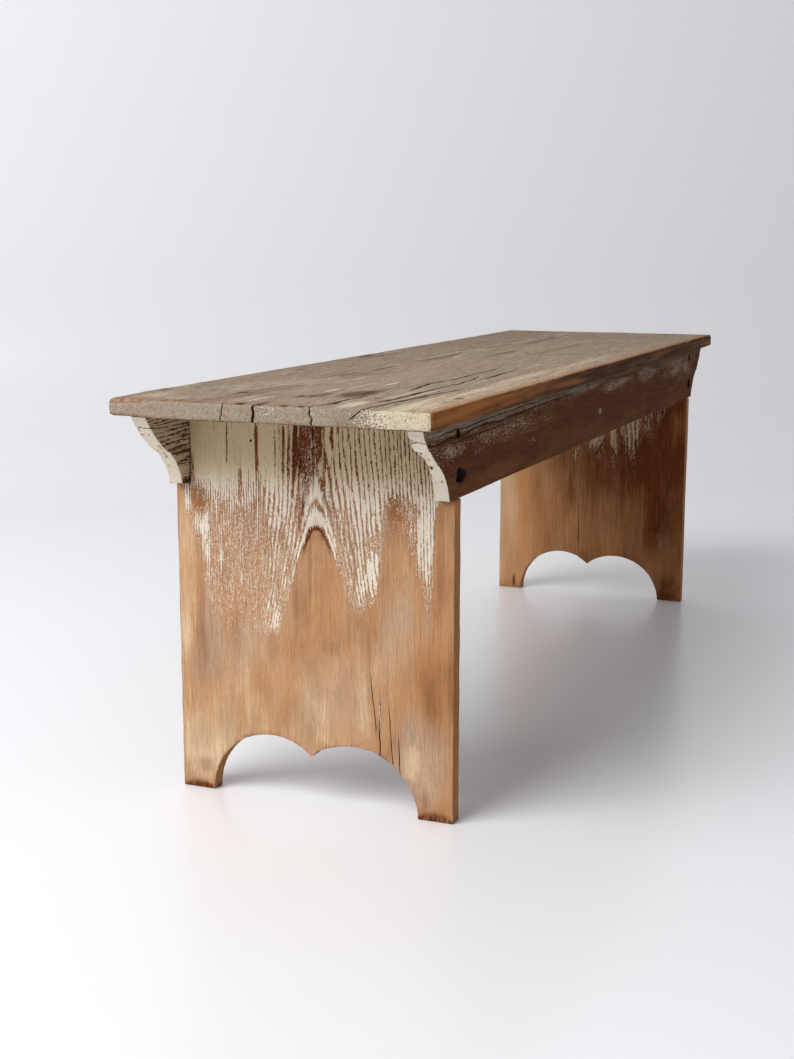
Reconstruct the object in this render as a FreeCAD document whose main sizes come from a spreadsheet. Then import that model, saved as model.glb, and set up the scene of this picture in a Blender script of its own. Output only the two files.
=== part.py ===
"""Bucket bench: a plank seat on two scalloped plank legs, with an ogee-ended apron on each long side.

The origin is on the floor, under the middle of the seat. X runs along the bench, Y across it and Z up.
The front is the side at -Y, and left and right are as seen from there.
"""
import FreeCAD, Part
import os
import Sketcher

Vector = FreeCAD.Vector
ALONG = Vector(1, 0, 0)
BACK = Vector(0, 1, 0)
UP = Vector(0, 0, 1)

# Each driving size in millimetres, with what it measures.
DRIVING_SIZES = [
    ("seat_length", 1282, "length of the seat plank"),
    ("seat_width", 350, "width of the seat plank"),
    ("seat_thickness", 19, "thickness of the seat plank"),
    ("seat_top_height", 432, "floor to the top of the seat"),
    ("seat_corner_radius", 4, "rounding of three corners of the seat, seen from above"),
    ("worn_corner_radius", 11, "rounding of the seat's back left corner, seen from above"),
    ("seat_top_arris_radius", 3, "rounding of the seat's top edges"),
    ("seat_under_arris_radius", 1.2, "rounding of the seat's bottom edges"),
    ("leg_thickness", 18, "thickness of a leg board"),
    ("leg_inset", 97.5, "end of the seat to the outer face of the leg"),
    ("front_overhang", 13.5, "seat's front edge beyond the legs' front edges"),
    ("back_overhang", 22.5, "seat's back edge beyond the legs' back edges"),
    ("foot_width", 39, "width of each foot at the floor"),
    ("cusp_height", 51, "floor to the point between a leg's two arches"),
    ("leg_arris_radius", 1.5, "rounding of the legs' long edges"),
    ("apron_thickness", 17, "thickness of an apron board, and depth of the notch that it lies in"),
    ("apron_height", 78, "height of an apron board, and of the notch that it lies in"),
    ("apron_projection", 14, "end of the apron's bottom edge beyond the leg's outer face"),
    ("apron_arris_radius", 1.2, "rounding of the aprons' bottom edges"),
    ("ogee_run", 72, "length of the ogee, along the bench"),
    ("cove_radius", 60, "radius of the ogee's hollow lower part"),
    ("nail_length", 63, "length of a cut nail, head included"),
    ("nail_head_width", 7.5, "length of a nail's head, along the bench"),
    ("nail_head_depth", 6, "the head's other side"),
    ("nail_head_thickness", 2, "thickness of a nail's head"),
    ("nail_shank_width", 5, "width of the tapered shank under the head"),
    ("nail_tip_width", 2.6, "width of the shank at its blunt tip"),
    ("nail_plate_thickness", 3.2, "thickness of the plate that the nails were cut from"),
    ("seat_to_leg_nails", 3, "number of nails through the seat into each leg"),
    ("seat_to_leg_pitch", 72, "distance between those nails, across the bench"),
    ("seat_to_apron_nails", 5, "number of nails through the seat into each apron"),
    ("seat_to_apron_pitch", 255, "distance between those nails, along the bench"),
    ("apron_to_leg_nails", 2, "number of nails through an apron into each leg"),
    ("lowest_nail_height", 23, "apron's bottom edge to the lowest of those nails"),
    ("highest_nail_drop", 13, "apron's top edge to the highest of those nails"),
]

# Where the ogee turns from hollow to round, as shares of its run and of the apron's height.
OGEE_TURN_RUN_SHARE = 0.42
OGEE_TURN_HEIGHT_SHARE = 0.5

# First guess of how far each arc stands off its chord, as a share of the chord, positive to the left.
ARCH_BULGE_SHARE = 0.33
COVE_BULGE_SHARE = 0.1
OVOLO_BULGE_SHARE = -0.065

# Edges whose ends are both this near a level, in millimetres, lie at that level.
SAME_LEVEL = 0.001

# Sizes and places that follow from the driving sizes.
LEG_HEIGHT = "(Sizes.seat_top_height - Sizes.seat_thickness)"
NOTCH_BOTTOM = f"({LEG_HEIGHT} - Sizes.apron_height)"
LEG_FACE = "(Sizes.seat_length / 2 - Sizes.leg_inset)"
LEG_MIDDLE = f"({LEG_FACE} - Sizes.leg_thickness / 2)"
LEG_WIDTH = "(Sizes.seat_width - Sizes.front_overhang - Sizes.back_overhang)"
BASE_MIDDLE = "((Sizes.front_overhang - Sizes.back_overhang) / 2)"
BASE_EDGE = f"({LEG_WIDTH} / 2)"
APRON_MIDDLE = f"({BASE_EDGE} - Sizes.apron_thickness / 2)"
APRON_BOTTOM_END = f"({LEG_FACE} + Sizes.apron_projection)"
APRON_TOP_END = f"({APRON_BOTTOM_END} + Sizes.ogee_run)"
OGEE_TURN_ALONG = f"({APRON_BOTTOM_END} + Sizes.ogee_run * {OGEE_TURN_RUN_SHARE})"
OGEE_TURN_UP = f"(Sizes.apron_height * {OGEE_TURN_HEIGHT_SHARE})"
LOWEST_NAIL = f"({NOTCH_BOTTOM} + Sizes.lowest_nail_height)"
APRON_TO_LEG_RISE = "(Sizes.apron_height - Sizes.lowest_nail_height - Sizes.highest_nail_drop)"
APRON_TO_LEG_PITCH = f"({APRON_TO_LEG_RISE} / (Sizes.apron_to_leg_nails - 1))"

doc = FreeCAD.newDocument("bucket_bench")
sheet = doc.addObject("Spreadsheet::Sheet", "Sizes")
for row, (word, size, meaning) in enumerate(DRIVING_SIZES, start=1):
    sheet.set(f"A{row}", meaning)
    sheet.set(f"B{row}", str(size))
    sheet.setAlias(f"B{row}", word)
doc.recompute()


def new_body(name):
    """Add an empty body under its own name."""
    body = doc.addObject("PartDesign::Body", name)
    body.Label = name
    return body


def own_plane(body, role):
    """Find one of the body's own origin planes or axes."""
    return next(item for item in body.Origin.OriginFeatures if item.Role == role)


def bind(thing, **expressions):
    """Bind properties of an object to the sheet."""
    for name, text in expressions.items():
        thing.setExpression(name, text)


def place(thing, along="0", back="0", up="0"):
    """Bind an object's position to the sheet: along the bench, to its back and up."""
    for axis, text in (("x", along), ("y", back), ("z", up)):
        thing.setExpression(f"Placement.Base.{axis}", text)


def dimension_corner(sketch, curve, end, across, up):
    """Dimension one end of a curve from the sketch's origin, or put it on an axis."""
    for kind, axis, text in (("DistanceX", -2, across), ("DistanceY", -1, up)):
        if text == "0":
            sketch.addConstraint(Sketcher.Constraint("PointOnObject", curve, end, axis))
            continue
        length = sketch.evalExpression(text)
        number = sketch.addConstraint(Sketcher.Constraint(kind, -1, 1, curve, end, length))
        sketch.setExpression(f"Constraints[{number}]", text)


def draw_outline(body, role, corners, bulge_shares=None, smooth_corner=None):
    """Sketch a closed outline on one of the body's planes, from expressions for its corners.

    Side n runs from corner n to the next one. bulge_shares has a first guess for each side that
    is an arc. The two arcs that meet at smooth_corner are tangent to each other.
    """
    sketch = body.newObject("Sketcher::SketchObject", f"{body.Name}_outline")
    sketch.AttachmentSupport = [(own_plane(body, role), "")]
    sketch.MapMode = "FlatFace"
    bulge_shares = bulge_shares or {}
    points = [Vector(*(body.evalExpression(text) for text in corner)) for corner in corners]
    ends = []
    for side, start in enumerate(points):
        finish = points[(side + 1) % len(points)]
        curve = Part.LineSegment(start, finish)
        if side in bulge_shares:
            to_left = UP.cross(finish - start)
            curve = Part.Arc(start, (start + finish) / 2 + to_left * bulge_shares[side], finish)
        sketch.addGeometry(curve)
        first_end = sketch.getPoint(side, 1)
        runs_forward = first_end.distanceToPoint(start) < first_end.distanceToPoint(finish)
        ends.append((1, 2) if runs_forward else (2, 1))
    for side, (across, up) in enumerate(corners):
        kind = "Tangent" if side == smooth_corner else "Coincident"
        before = (side - 1) % len(corners)
        sketch.addConstraint(Sketcher.Constraint(kind, before, ends[before][1], side, ends[side][0]))
        dimension_corner(sketch, side, ends[side][0], across, up)
    return sketch


def pad_board(body, sketch, thickness):
    """Pad an outline to both sides of its plane, to the board's thickness."""
    pad = body.newObject("PartDesign::Pad", f"{body.Name}_pad")
    pad.Profile = sketch
    pad.SideType = "Symmetric"
    bind(pad, Length=thickness)
    body.Tip = pad
    doc.recompute()
    return pad


def mirror_half(body, half, role):
    """Complete a board from its half, across one of the body's planes."""
    mirrored = body.newObject("PartDesign::Mirrored", f"{body.Name}_mirrored")
    mirrored.Originals = [half]
    mirrored.MirrorPlane = (own_plane(body, role), [""])
    body.Tip = mirrored
    doc.recompute()


def round_edges(body, name, radius, is_chosen):
    """Fillet the edges of the body's last feature that is_chosen picks."""
    base = body.Tip
    edges = enumerate(base.Shape.Edges, start=1)
    fillet = body.newObject("PartDesign::Fillet", f"{body.Name}_{name}")
    fillet.Base = (base, [f"Edge{number}" for number, edge in edges if is_chosen(edge)])
    bind(fillet, Radius=radius)
    body.Tip = fillet
    doc.recompute()


def is_upright(edge):
    """Tell whether an edge runs straight up."""
    return isinstance(edge.Curve, Part.Line) and edge.BoundBox.ZLength > edge.BoundBox.DiagonalLength / 2


def make_seat():
    """The seat plank, centred on its own middle, with one corner worn rounder than the rest."""
    body = new_body("seat_board")
    end = "Sizes.seat_length / 2"
    side = "Sizes.seat_width / 2"
    corners = [(f"-{end}", f"-{side}"), (end, f"-{side}"), (end, side), (f"-{end}", side)]
    pad_board(body, draw_outline(body, "XY_Plane", corners), "Sizes.seat_thickness")

    def is_worn_corner(edge):
        return is_upright(edge) and edge.CenterOfMass.x < 0 and edge.CenterOfMass.y > 0

    def is_other_corner(edge):
        return is_upright(edge) and not is_worn_corner(edge)

    round_edges(body, "corners", "Sizes.seat_corner_radius", is_other_corner)
    round_edges(body, "worn_corner", "Sizes.worn_corner_radius", is_worn_corner)
    round_edges(body, "top_arris", "Sizes.seat_top_arris_radius", lambda edge: edge.BoundBox.ZMin > 0)
    round_edges(body, "under_arris", "Sizes.seat_under_arris_radius", lambda edge: edge.BoundBox.ZMax < 0)
    place(body, up="Sizes.seat_top_height - Sizes.seat_thickness / 2")
    return body


def make_leg(side_name, side):
    """A leg board: two arches that start upright on the floor, and a notch at each upper corner."""
    body = new_body(f"{side_name}_leg_board")
    foot_inside = f"({BASE_EDGE} - Sizes.foot_width)"
    notch_inside = f"({BASE_EDGE} - Sizes.apron_thickness)"
    corners = [
        ("0", "Sizes.cusp_height"),
        (foot_inside, "0"),
        (BASE_EDGE, "0"),
        (BASE_EDGE, NOTCH_BOTTOM),
        (notch_inside, NOTCH_BOTTOM),
        (notch_inside, LEG_HEIGHT),
        ("0", LEG_HEIGHT),
    ]
    arch = 0
    sketch = draw_outline(body, "YZ_Plane", corners, {arch: ARCH_BULGE_SHARE})
    sketch.addConstraint(Sketcher.Constraint("PointOnObject", arch, 3, -1))
    mirror_half(body, pad_board(body, sketch, "Sizes.leg_thickness"), "XZ_Plane")

    def is_long_edge(edge):
        return is_upright(edge) and edge.BoundBox.ZMin < SAME_LEVEL

    round_edges(body, "arris", "Sizes.leg_arris_radius", is_long_edge)
    place(body, along=f"{side} * {LEG_MIDDLE}", back=BASE_MIDDLE)
    return body


def make_apron(side_name, side):
    """An apron board, with both ends cut to an ogee: hollow at the bottom and round at the top."""
    body = new_body(f"{side_name}_apron_board")
    corners = [
        ("0", "0"),
        (APRON_BOTTOM_END, "0"),
        (OGEE_TURN_ALONG, OGEE_TURN_UP),
        (APRON_TOP_END, "Sizes.apron_height"),
        ("0", "Sizes.apron_height"),
    ]
    cove, ovolo = 1, 2
    bulge_shares = {cove: COVE_BULGE_SHARE, ovolo: OVOLO_BULGE_SHARE}
    sketch = draw_outline(body, "XZ_Plane", corners, bulge_shares, smooth_corner=ovolo)
    radius = sketch.evalExpression("Sizes.cove_radius")
    number = sketch.addConstraint(Sketcher.Constraint("Radius", cove, radius))
    sketch.setExpression(f"Constraints[{number}]", "Sizes.cove_radius")
    mirror_half(body, pad_board(body, sketch, "Sizes.apron_thickness"), "YZ_Plane")

    def is_bottom_edge(edge):
        return edge.BoundBox.ZMax < SAME_LEVEL and edge.BoundBox.XLength > edge.BoundBox.YLength

    round_edges(body, "arris", "Sizes.apron_arris_radius", is_bottom_edge)
    place(body, back=f"{BASE_MIDDLE} + {side} * {APRON_MIDDLE}", up=NOTCH_BOTTOM)
    return body


def make_nails(name, count, pitch, row_axis, row=BACK, outward=UP):
    """A row of cut nails, each with its head's top at zero and its tip away from outward.

    The shank tapers in its width only, because the nails are sheared from flat plate. The row runs
    along the body's own row_axis, and its Y and Z axes are turned to row and outward.
    """
    body = new_body(name)
    body.AllowCompound = True
    head = "Sizes.nail_head_width / 2"
    shank = "Sizes.nail_shank_width / 2"
    tip = "Sizes.nail_tip_width / 2"
    neck = "-Sizes.nail_head_thickness"
    head_corners = [(f"-{head}", neck), (head, neck), (head, "0"), (f"-{head}", "0")]
    end = "-Sizes.nail_length"
    shank_corners = [(f"-{tip}", end), (tip, end), (shank, neck), (f"-{shank}", neck)]
    head_pad = pad_board(body, draw_outline(body, "XZ_Plane", head_corners), "Sizes.nail_head_depth")
    shank_pad = pad_board(body, draw_outline(body, "XZ_Plane", shank_corners), "Sizes.nail_plate_thickness")
    pattern = body.newObject("PartDesign::LinearPattern", f"{name}_row")
    pattern.Originals = [head_pad, shank_pad]
    pattern.Direction = (own_plane(body, row_axis), [""])
    pattern.Mode = "Spacing"
    bind(pattern, Offset=pitch, Occurrences=count)
    body.Tip = pattern
    turn = FreeCAD.Rotation(row.cross(outward), row, outward, "ZYX")
    body.Placement = FreeCAD.Placement(Vector(), turn)
    return body


def first_of_row(count, pitch):
    """Where a row of nails starts, so that its middle is at zero."""
    return f"((1 - {count}) * {pitch} / 2)"


def make_seat_to_leg_nails(side_name, side):
    """Nails down through the seat into a leg's end grain."""
    count, pitch = "Sizes.seat_to_leg_nails", "Sizes.seat_to_leg_pitch"
    nails = make_nails(f"seat_nails_{side_name}_leg", count, pitch, "Y_Axis")
    start = f"{BASE_MIDDLE} + {first_of_row(count, pitch)}"
    place(nails, along=f"{side} * {LEG_MIDDLE}", back=start, up="Sizes.seat_top_height")
    return nails


def make_seat_to_apron_nails(side_name, side):
    """Nails down through the seat into an apron's top edge."""
    count, pitch = "Sizes.seat_to_apron_nails", "Sizes.seat_to_apron_pitch"
    nails = make_nails(f"seat_nails_{side_name}_apron", count, pitch, "X_Axis")
    across = f"{BASE_MIDDLE} + {side} * {APRON_MIDDLE}"
    place(nails, along=first_of_row(count, pitch), back=across, up="Sizes.seat_top_height")
    return nails


def make_apron_to_leg_nails(apron_name, apron_side, leg_name, leg_side):
    """Nails through an apron's face into a leg's edge."""
    count, pitch = "Sizes.apron_to_leg_nails", APRON_TO_LEG_PITCH
    name = f"{apron_name}_{leg_name}_apron_nails"
    nails = make_nails(name, count, pitch, "Y_Axis", row=UP, outward=BACK * apron_side)
    face = f"{BASE_MIDDLE} + {apron_side} * {BASE_EDGE}"
    place(nails, along=f"{leg_side} * {LEG_MIDDLE}", back=face, up=LOWEST_NAIL)
    return nails


def drive_nails(name, board, nail_groups):
    """The finished board, with the nails' own ways through it."""
    nails = doc.addObject("Part::Compound", f"nails_in_{name}")
    nails.Links = nail_groups
    driven = doc.addObject("Part::Cut", name)
    driven.Label = name
    driven.Base = board
    driven.Tool = nails
    return driven


LEG_SIDES = {"left": -1, "right": 1}
APRON_SIDES = {"front": -1, "back": 1}

leg_top_nails = {leg: make_seat_to_leg_nails(leg, side) for leg, side in LEG_SIDES.items()}
apron_top_nails = {apron: make_seat_to_apron_nails(apron, side) for apron, side in APRON_SIDES.items()}
corner_nails = {
    (apron, leg): make_apron_to_leg_nails(apron, apron_side, leg, leg_side)
    for apron, apron_side in APRON_SIDES.items()
    for leg, leg_side in LEG_SIDES.items()
}

top_nails = [*leg_top_nails.values(), *apron_top_nails.values()]
pieces = [drive_nails("seat_plank", make_seat(), top_nails)]
for leg, side in LEG_SIDES.items():
    nails = [leg_top_nails[leg], *(corner_nails[apron, leg] for apron in APRON_SIDES)]
    pieces.append(drive_nails(f"{leg}_leg", make_leg(leg, side), nails))
for apron, side in APRON_SIDES.items():
    nails = [apron_top_nails[apron], *(corner_nails[apron, leg] for leg in LEG_SIDES)]
    pieces.append(drive_nails(f"{apron}_apron", make_apron(apron, side), nails))
pieces += [*top_nails, *corner_nails.values()]
doc.recompute()

for item in doc.Objects:
    if {"Invalid", "Error"} & set(item.State):
        raise RuntimeError(f"{item.Label} didn't recompute: {item.State}")
for piece in pieces:
    if piece.Shape.isNull() or not piece.Shape.isValid():
        raise RuntimeError(f"{piece.Label} has no valid shape")

os.makedirs("parts", exist_ok=True)
for piece in pieces:
    piece.Shape.exportStep(os.path.join("parts", f"{piece.Label}.step"))
    size = piece.Shape.BoundBox
    extent = f"{size.XLength:.1f} x {size.YLength:.1f} x {size.ZLength:.1f} mm"
    print(f"{piece.Label}: {len(piece.Shape.Solids)} solids, {extent}, {piece.Shape.Volume:.0f} mm3")
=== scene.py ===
"""The looks of the bucket bench: five weathered boards, their cut nails and a pale studio.

Marks on the boards are given in millimetres on each board's own axes: along its grain, across it
and through it, from its back face to its showing face.
"""
import math
from functools import partial
from typing import NamedTuple

import bmesh
import bpy
from mathutils import Matrix, Vector, noise


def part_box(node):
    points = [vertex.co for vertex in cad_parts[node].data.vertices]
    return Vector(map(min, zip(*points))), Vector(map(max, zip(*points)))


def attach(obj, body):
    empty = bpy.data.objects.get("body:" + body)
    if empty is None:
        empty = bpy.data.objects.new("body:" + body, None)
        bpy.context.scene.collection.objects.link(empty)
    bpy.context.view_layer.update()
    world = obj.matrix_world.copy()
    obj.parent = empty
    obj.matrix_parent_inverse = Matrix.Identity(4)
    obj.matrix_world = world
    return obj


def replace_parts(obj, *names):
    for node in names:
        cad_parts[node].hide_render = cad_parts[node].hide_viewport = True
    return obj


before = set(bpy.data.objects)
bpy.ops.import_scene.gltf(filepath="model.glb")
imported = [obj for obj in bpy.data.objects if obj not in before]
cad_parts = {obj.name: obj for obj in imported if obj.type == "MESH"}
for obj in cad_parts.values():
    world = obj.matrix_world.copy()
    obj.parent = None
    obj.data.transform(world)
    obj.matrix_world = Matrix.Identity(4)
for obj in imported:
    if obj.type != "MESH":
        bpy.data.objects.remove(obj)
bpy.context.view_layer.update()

bl_info = {
    "name": "Bucket Bench",
    "version": (1, 0, 0),
    "blender": (4, 5, 0),
    "location": "View3D > Sidebar > Bench",
    "description": "Dresses the packed bucket bench in weathered, half painted pine and rusty cut nails",
    "category": "Object",
}

MM = 0.001
UP = Vector((0, 0, 1))


def srgb(code):
    """Turn an sRGB hex colour into the linear colour that Blender works in."""
    parts = [int(code[start:start + 2], 16) / 255 for start in (1, 3, 5)]
    return (*(part / 12.92 if part <= 0.04045 else ((part + 0.055) / 1.055) ** 2.4 for part in parts), 1.0)


# ---------------------------------------------------------------- settings


def colour(name, description, code):
    """A colour setting."""
    return bpy.props.FloatVectorProperty(
        name=name, description=description, subtype="COLOR", size=4, min=0, max=1, default=srgb(code)
    )


def length(name, description, metres, least=0.0):
    """A length setting."""
    return bpy.props.FloatProperty(
        name=name, description=description, default=metres, min=least, unit="LENGTH",
    )


class BenchPaint(bpy.types.PropertyGroup):
    """The old paint that is left on the bench."""

    clean: colour("Clean paint", "Rubbed cream paint in the light", "#F6EDDC")
    # The grimy colour is partly real grime and partly painted shade: it darkens the paint under the seat and
    # on faces that lie in shade.
    grimy: colour("Grimy paint", "Old paint under the seat that nobody has rubbed", "#E2CFA6")
    edge: bpy.props.FloatProperty(
        name="Flake edge", description="How softly a flake of paint ends", default=0.07, min=0.01, max=0.5,
        subtype="FACTOR",
    )


class BenchBoards(bpy.types.PropertyGroup):
    """How finely the boards are cut up and how far they have worn."""

    cut_along: length("Cuts along the grain", "Distance between cuts along a board", 0.009, 0.003)
    cut_across: length("Cuts across the grain", "Distance between cuts across a board", 0.0018, 0.0008)
    ridge: length("Raised grain", "How far the hard rings stand above the soft wood", 0.00035)
    hollow: length("Worn hollows", "Depth of the wide hollows that use has worn", 0.0006)
    chip: length("Chipped edges", "Depth of the deepest chips along the edges", 0.0022)


class BenchStage(bpy.types.PropertyGroup):
    """The studio: floor, backdrop, lamp and camera."""

    floor: colour("Floor and wall", "Pale paint of the studio's floor and wall", "#F5F5F7")
    camera_place: bpy.props.FloatVectorProperty(
        name="Camera place", description="Where the camera stands", subtype="TRANSLATION", unit="LENGTH",
        default=(-1.9463, -0.6798, 0.5857),
    )
    camera_heading: bpy.props.FloatVectorProperty(
        name="Camera heading", description="The way the camera looks", subtype="DIRECTION",
        default=(0.90836, 0.3756, -0.18387),
    )
    lens: bpy.props.FloatProperty(
        name="Lens", description="Focal length on a 36 mm high picture", default=52.64, unit="CAMERA",
    )
    window: bpy.props.FloatProperty(
        name="Window light", description="Power of the big soft light at the left", default=137, min=0,
        unit="POWER",
    )
    room: bpy.props.FloatProperty(
        name="Room light", description="Strength of the light from the whole room", default=0.39, min=0,
        subtype="FACTOR",
    )


# ---------------------------------------------------------------- small tools


def smooth(value, low, high):
    """Rise smoothly from 0 at low to 1 at high."""
    share = min(max((value - low) / (high - low), 0.0), 1.0)
    return share * share * (3 - 2 * share)


def facing(part, sure=0.9):
    """How squarely a point looks one way, from its normal's part that way."""
    return smooth(part, 0.5, sure)


def read(stations, along):
    """Read a table whose rows start with a distance along the board, between its rows."""
    if along <= stations[0][0]:
        return stations[0][1:]
    for before, after in zip(stations, stations[1:]):
        if along <= after[0]:
            share = (along - before[0]) / (after[0] - before[0])
            return [a + (b - a) * share for a, b in zip(before[1:], after[1:])]
    return stations[-1][1:]


def rounding(distance, radius):
    """How far a face falls away at a distance from an edge that is rounded to a radius."""
    short = radius - max(distance, 0.0)
    return radius - math.sqrt(radius * radius - short * short) if 0 < short <= radius else 0.0


def wander(along, across, through, reach_along, reach_across, seed):
    """Smooth noise from -1 to 1 that is drawn out along the grain."""
    return noise.noise(Vector((
        along / reach_along + seed * 7.31, across / reach_across + seed * 3.17, through / reach_across,
    )))


class Patch(NamedTuple):
    """A soft oval mark: its middle, its reach along and across the grain, and how much it adds."""

    along: float
    across: float
    reach_along: float
    reach_across: float
    level: float


def patches_at(table, along, across):
    """Add up the patches of a table at one place."""
    total = 0.0
    for mark in table:
        far_along = (along - mark.along) / mark.reach_along
        if -1 < far_along < 1:
            distance = math.hypot(far_along, (across - mark.across) / mark.reach_across)
            if distance < 1:
                total += mark.level * smooth(1 - distance, 0.0, 0.6)
    return total


def patches(*rows):
    """A table of patches."""
    return tuple(Patch(*row) for row in rows)


def only(items, kind):
    """The verts or the edges among some parts of a bmesh."""
    return [item for item in items if isinstance(item, kind)]


# ---------------------------------------------------------------- boards


class Split(NamedTuple):
    """A crack: rows of (along, across, width, depth), its lean through the board, and how deep it shows."""

    rows: tuple
    lean: float = 0.0
    deep: float = 99.0

    def home(self):
        """The straight line that the wandering crack is cut on: the middle of its way."""
        return sum(row[1] for row in self.rows) / len(self.rows)


class Board(NamedTuple):
    """Where a board lies, and everything that time has done to it.

    origin is the back face's zero in millimetres; the three directions are the board's own axes.
    finish gives the board's marks at one place, and rings its count of growth rings there. finer holds
    places along the board whose shape or marks are too fine for the even cuts.
    """

    name: str
    slot: str
    origin: tuple
    along: tuple
    across: tuple
    thickness: float
    outline: object
    arris: float
    rings: object
    finish: object
    splits: tuple = ()
    holes: tuple = ()
    finer: tuple = ()
    seed: float = 0.0
    coarser: float = 1.0

    def matrix(self):
        """The move from the board's own millimetres to the bench in metres."""
        along, across = Vector(self.along), Vector(self.across)
        turn = Matrix((along, across, along.cross(across))).transposed().to_4x4()
        return Matrix.Scale(MM, 4) @ Matrix.Translation(self.origin) @ turn


# What every point of a board knows about itself, each from 0 to 1 but for the count of rings.
# The grime mark carries painted shade as well as real grime.
MARKS = (
    "paint", "primed", "grime", "chalk", "stain", "silver", "warm", "pale", "crack", "ring", "figure",
    "endgrain",
)


class Pencil:
    """Draws a closed outline in a board's own plane, corner by corner."""

    def __init__(self, bm, along, across):
        self.bm = bm
        self.first = self.last = bm.verts.new((along, across, 0))

    def line(self, along, across):
        corner = self.bm.verts.new((along, across, 0))
        self.bm.edges.new((self.last, corner))
        self.last = corner

    def arc(self, along, across, heading, steps):
        """Draw an arc to a point, setting off at a heading in degrees."""
        start = self.last.co
        chord = Vector((along, across, 0)) - start
        onward = Vector((math.cos(math.radians(heading)), math.sin(math.radians(heading)), 0))
        left = UP.cross(onward)
        centre = start + left * (chord.length_squared / (2 * chord.dot(left)))
        turn = 2 * math.atan2(onward.cross(chord).z, onward.dot(chord))
        spun = bmesh.ops.spin(
            self.bm, geom=[self.last], cent=centre, axis=UP, angle=turn, steps=steps, use_duplicate=False
        )
        self.last = only(spun["geom_last"], bmesh.types.BMVert)[0]

    def close(self):
        """Close the outline and fill it."""
        if (self.last.co - self.first.co).length > 0.01:
            self.bm.edges.new((self.last, self.first))
        bmesh.ops.remove_doubles(self.bm, verts=self.bm.verts[:], dist=0.01)
        bmesh.ops.contextual_create(self.bm, geom=self.bm.edges[:])


# The boards' sizes in millimetres. The legs' middle lies off the seat's, and the ogee turns at one point.
SEAT_END, SEAT_SIDE, SEAT_THICK = 641, 175, 19
LEG_HEIGHT, LEG_HALF, LEG_THICK, LEG_MIDDLE = 413, 157, 18, -4.5
FOOT, CUSP, NOTCH_UP, NOTCH_IN = 39, 51, 335, 17
APRON_HEIGHT, APRON_THICK, APRON_BOTTOM, APRON_TOP = 78, 17, 557.5, 629.5
OGEE_TURN = (587.74, 39)


def draw_seat(pencil_on):
    """The seat's outline, with one corner worn round and three a little."""
    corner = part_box("seat_plank")[1] / MM
    end, side = corner.x, corner.y
    small, worn = 4, 11
    pencil = pencil_on(-end, -side + small)
    pencil.arc(-end + small, -side, -90, 3)
    pencil.line(end - small, -side)
    pencil.arc(end, -side + small, 0, 3)
    pencil.line(end, side - small)
    pencil.arc(end - small, side, 90, 3)
    pencil.line(-end + worn, side)
    pencil.arc(-end, side - worn, 180, 10)
    pencil.close()


def draw_leg(pencil_on):
    """A leg's outline: two hand-sawn arches with a cusp between them, and a notch at each upper corner."""
    front, back, inside = LEG_MIDDLE - LEG_HALF, LEG_MIDDLE + LEG_HALF, LEG_HALF - FOOT
    pencil = pencil_on(0, back)
    pencil.line(0, back - FOOT)
    pencil.arc(CUSP, LEG_MIDDLE + 2, 0, 24)
    chord = math.degrees(math.atan2(inside + 2, CUSP))
    pencil.arc(0, front + FOOT, chord - 117, 24)
    for corner in (
        (0, front), (NOTCH_UP, front), (NOTCH_UP, front + NOTCH_IN), (LEG_HEIGHT, front + NOTCH_IN),
        (LEG_HEIGHT, back - NOTCH_IN), (NOTCH_UP, back - NOTCH_IN), (NOTCH_UP, back),
    ):
        pencil.line(*corner)
    pencil.close()


def draw_apron(pencil_on):
    """An apron's outline, each end hollow at the bottom and round at the top."""
    pencil = pencil_on(-APRON_BOTTOM, 0)
    pencil.line(APRON_BOTTOM, 0)
    pencil.arc(*OGEE_TURN, 76.5, 14)
    pencil.arc(APRON_TOP, APRON_HEIGHT, 28, 14)
    pencil.line(-APRON_TOP, APRON_HEIGHT)
    pencil.arc(-OGEE_TURN[0], OGEE_TURN[1], -58.1, 14)
    pencil.arc(-APRON_BOTTOM, 0, -28, 14)
    pencil.close()


def saw(bm, axis, places, geom=None):
    """Cut through the whole board, or a part of it, at each place along one of its axes."""
    across = Vector([float(number == axis) for number in range(3)])
    for place in places:
        bmesh.ops.bisect_plane(
            bm, geom=geom or bm.verts[:] + bm.edges[:] + bm.faces[:], dist=0.0001,
            plane_co=across * place, plane_no=across,
        )


def even_places(low, high, step):
    """Places about a step apart, strictly between low and high."""
    count = max(int(round((high - low) / step)), 1)
    return [low + (high - low) * number / count for number in range(1, count)]


def near(bm, middle, reach):
    """The part of a board around one place on its face."""
    faces = []
    for face in bm.faces:
        spot = face.calc_center_median()
        if abs(spot.x - middle[0]) < reach + 5 and abs(spot.y - middle[1]) < reach:
            faces.append(face)
    edges = {edge for face in faces for edge in face.edges}
    verts = {vert for face in faces for vert in face.verts}
    return [*verts, *edges, *faces]


HAIR = 0.9  # half the width of the strip of faces that each split runs in
LAYER = 1.5  # how far apart the cuts lie through a board


def saw_board(bm, board, sizes):
    """Cut a board up finely enough to carry its wear, with cuts on its splits and by its nails."""
    low = [min(vert.co[axis] for vert in bm.verts) for axis in range(3)]
    high = [max(vert.co[axis] for vert in bm.verts) for axis in range(3)]
    saw(bm, 0, even_places(low[0], high[0], sizes.cut_along * board.coarser / MM) + list(board.finer))
    saw(bm, 2, even_places(0, board.thickness, LAYER))
    places = even_places(low[1], high[1], sizes.cut_across * board.coarser / MM)
    homes = [split.home() for split in board.splits]
    places = [place for place in places if all(abs(place - home) > 1.5 * HAIR for home in homes)]
    for home in homes:
        places += [home - HAIR, home, home + HAIR]
    saw(bm, 1, sorted(places))
    for hole in board.holes:
        step = hole.radius / 3
        for axis in (0, 1):
            middle = hole.along if axis == 0 else hole.across
            places = [middle + number * step for number in range(-5, 6)]
            saw(bm, axis, places, near(bm, (hole.along, hole.across), hole.radius * 2.4 + 4))


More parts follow.
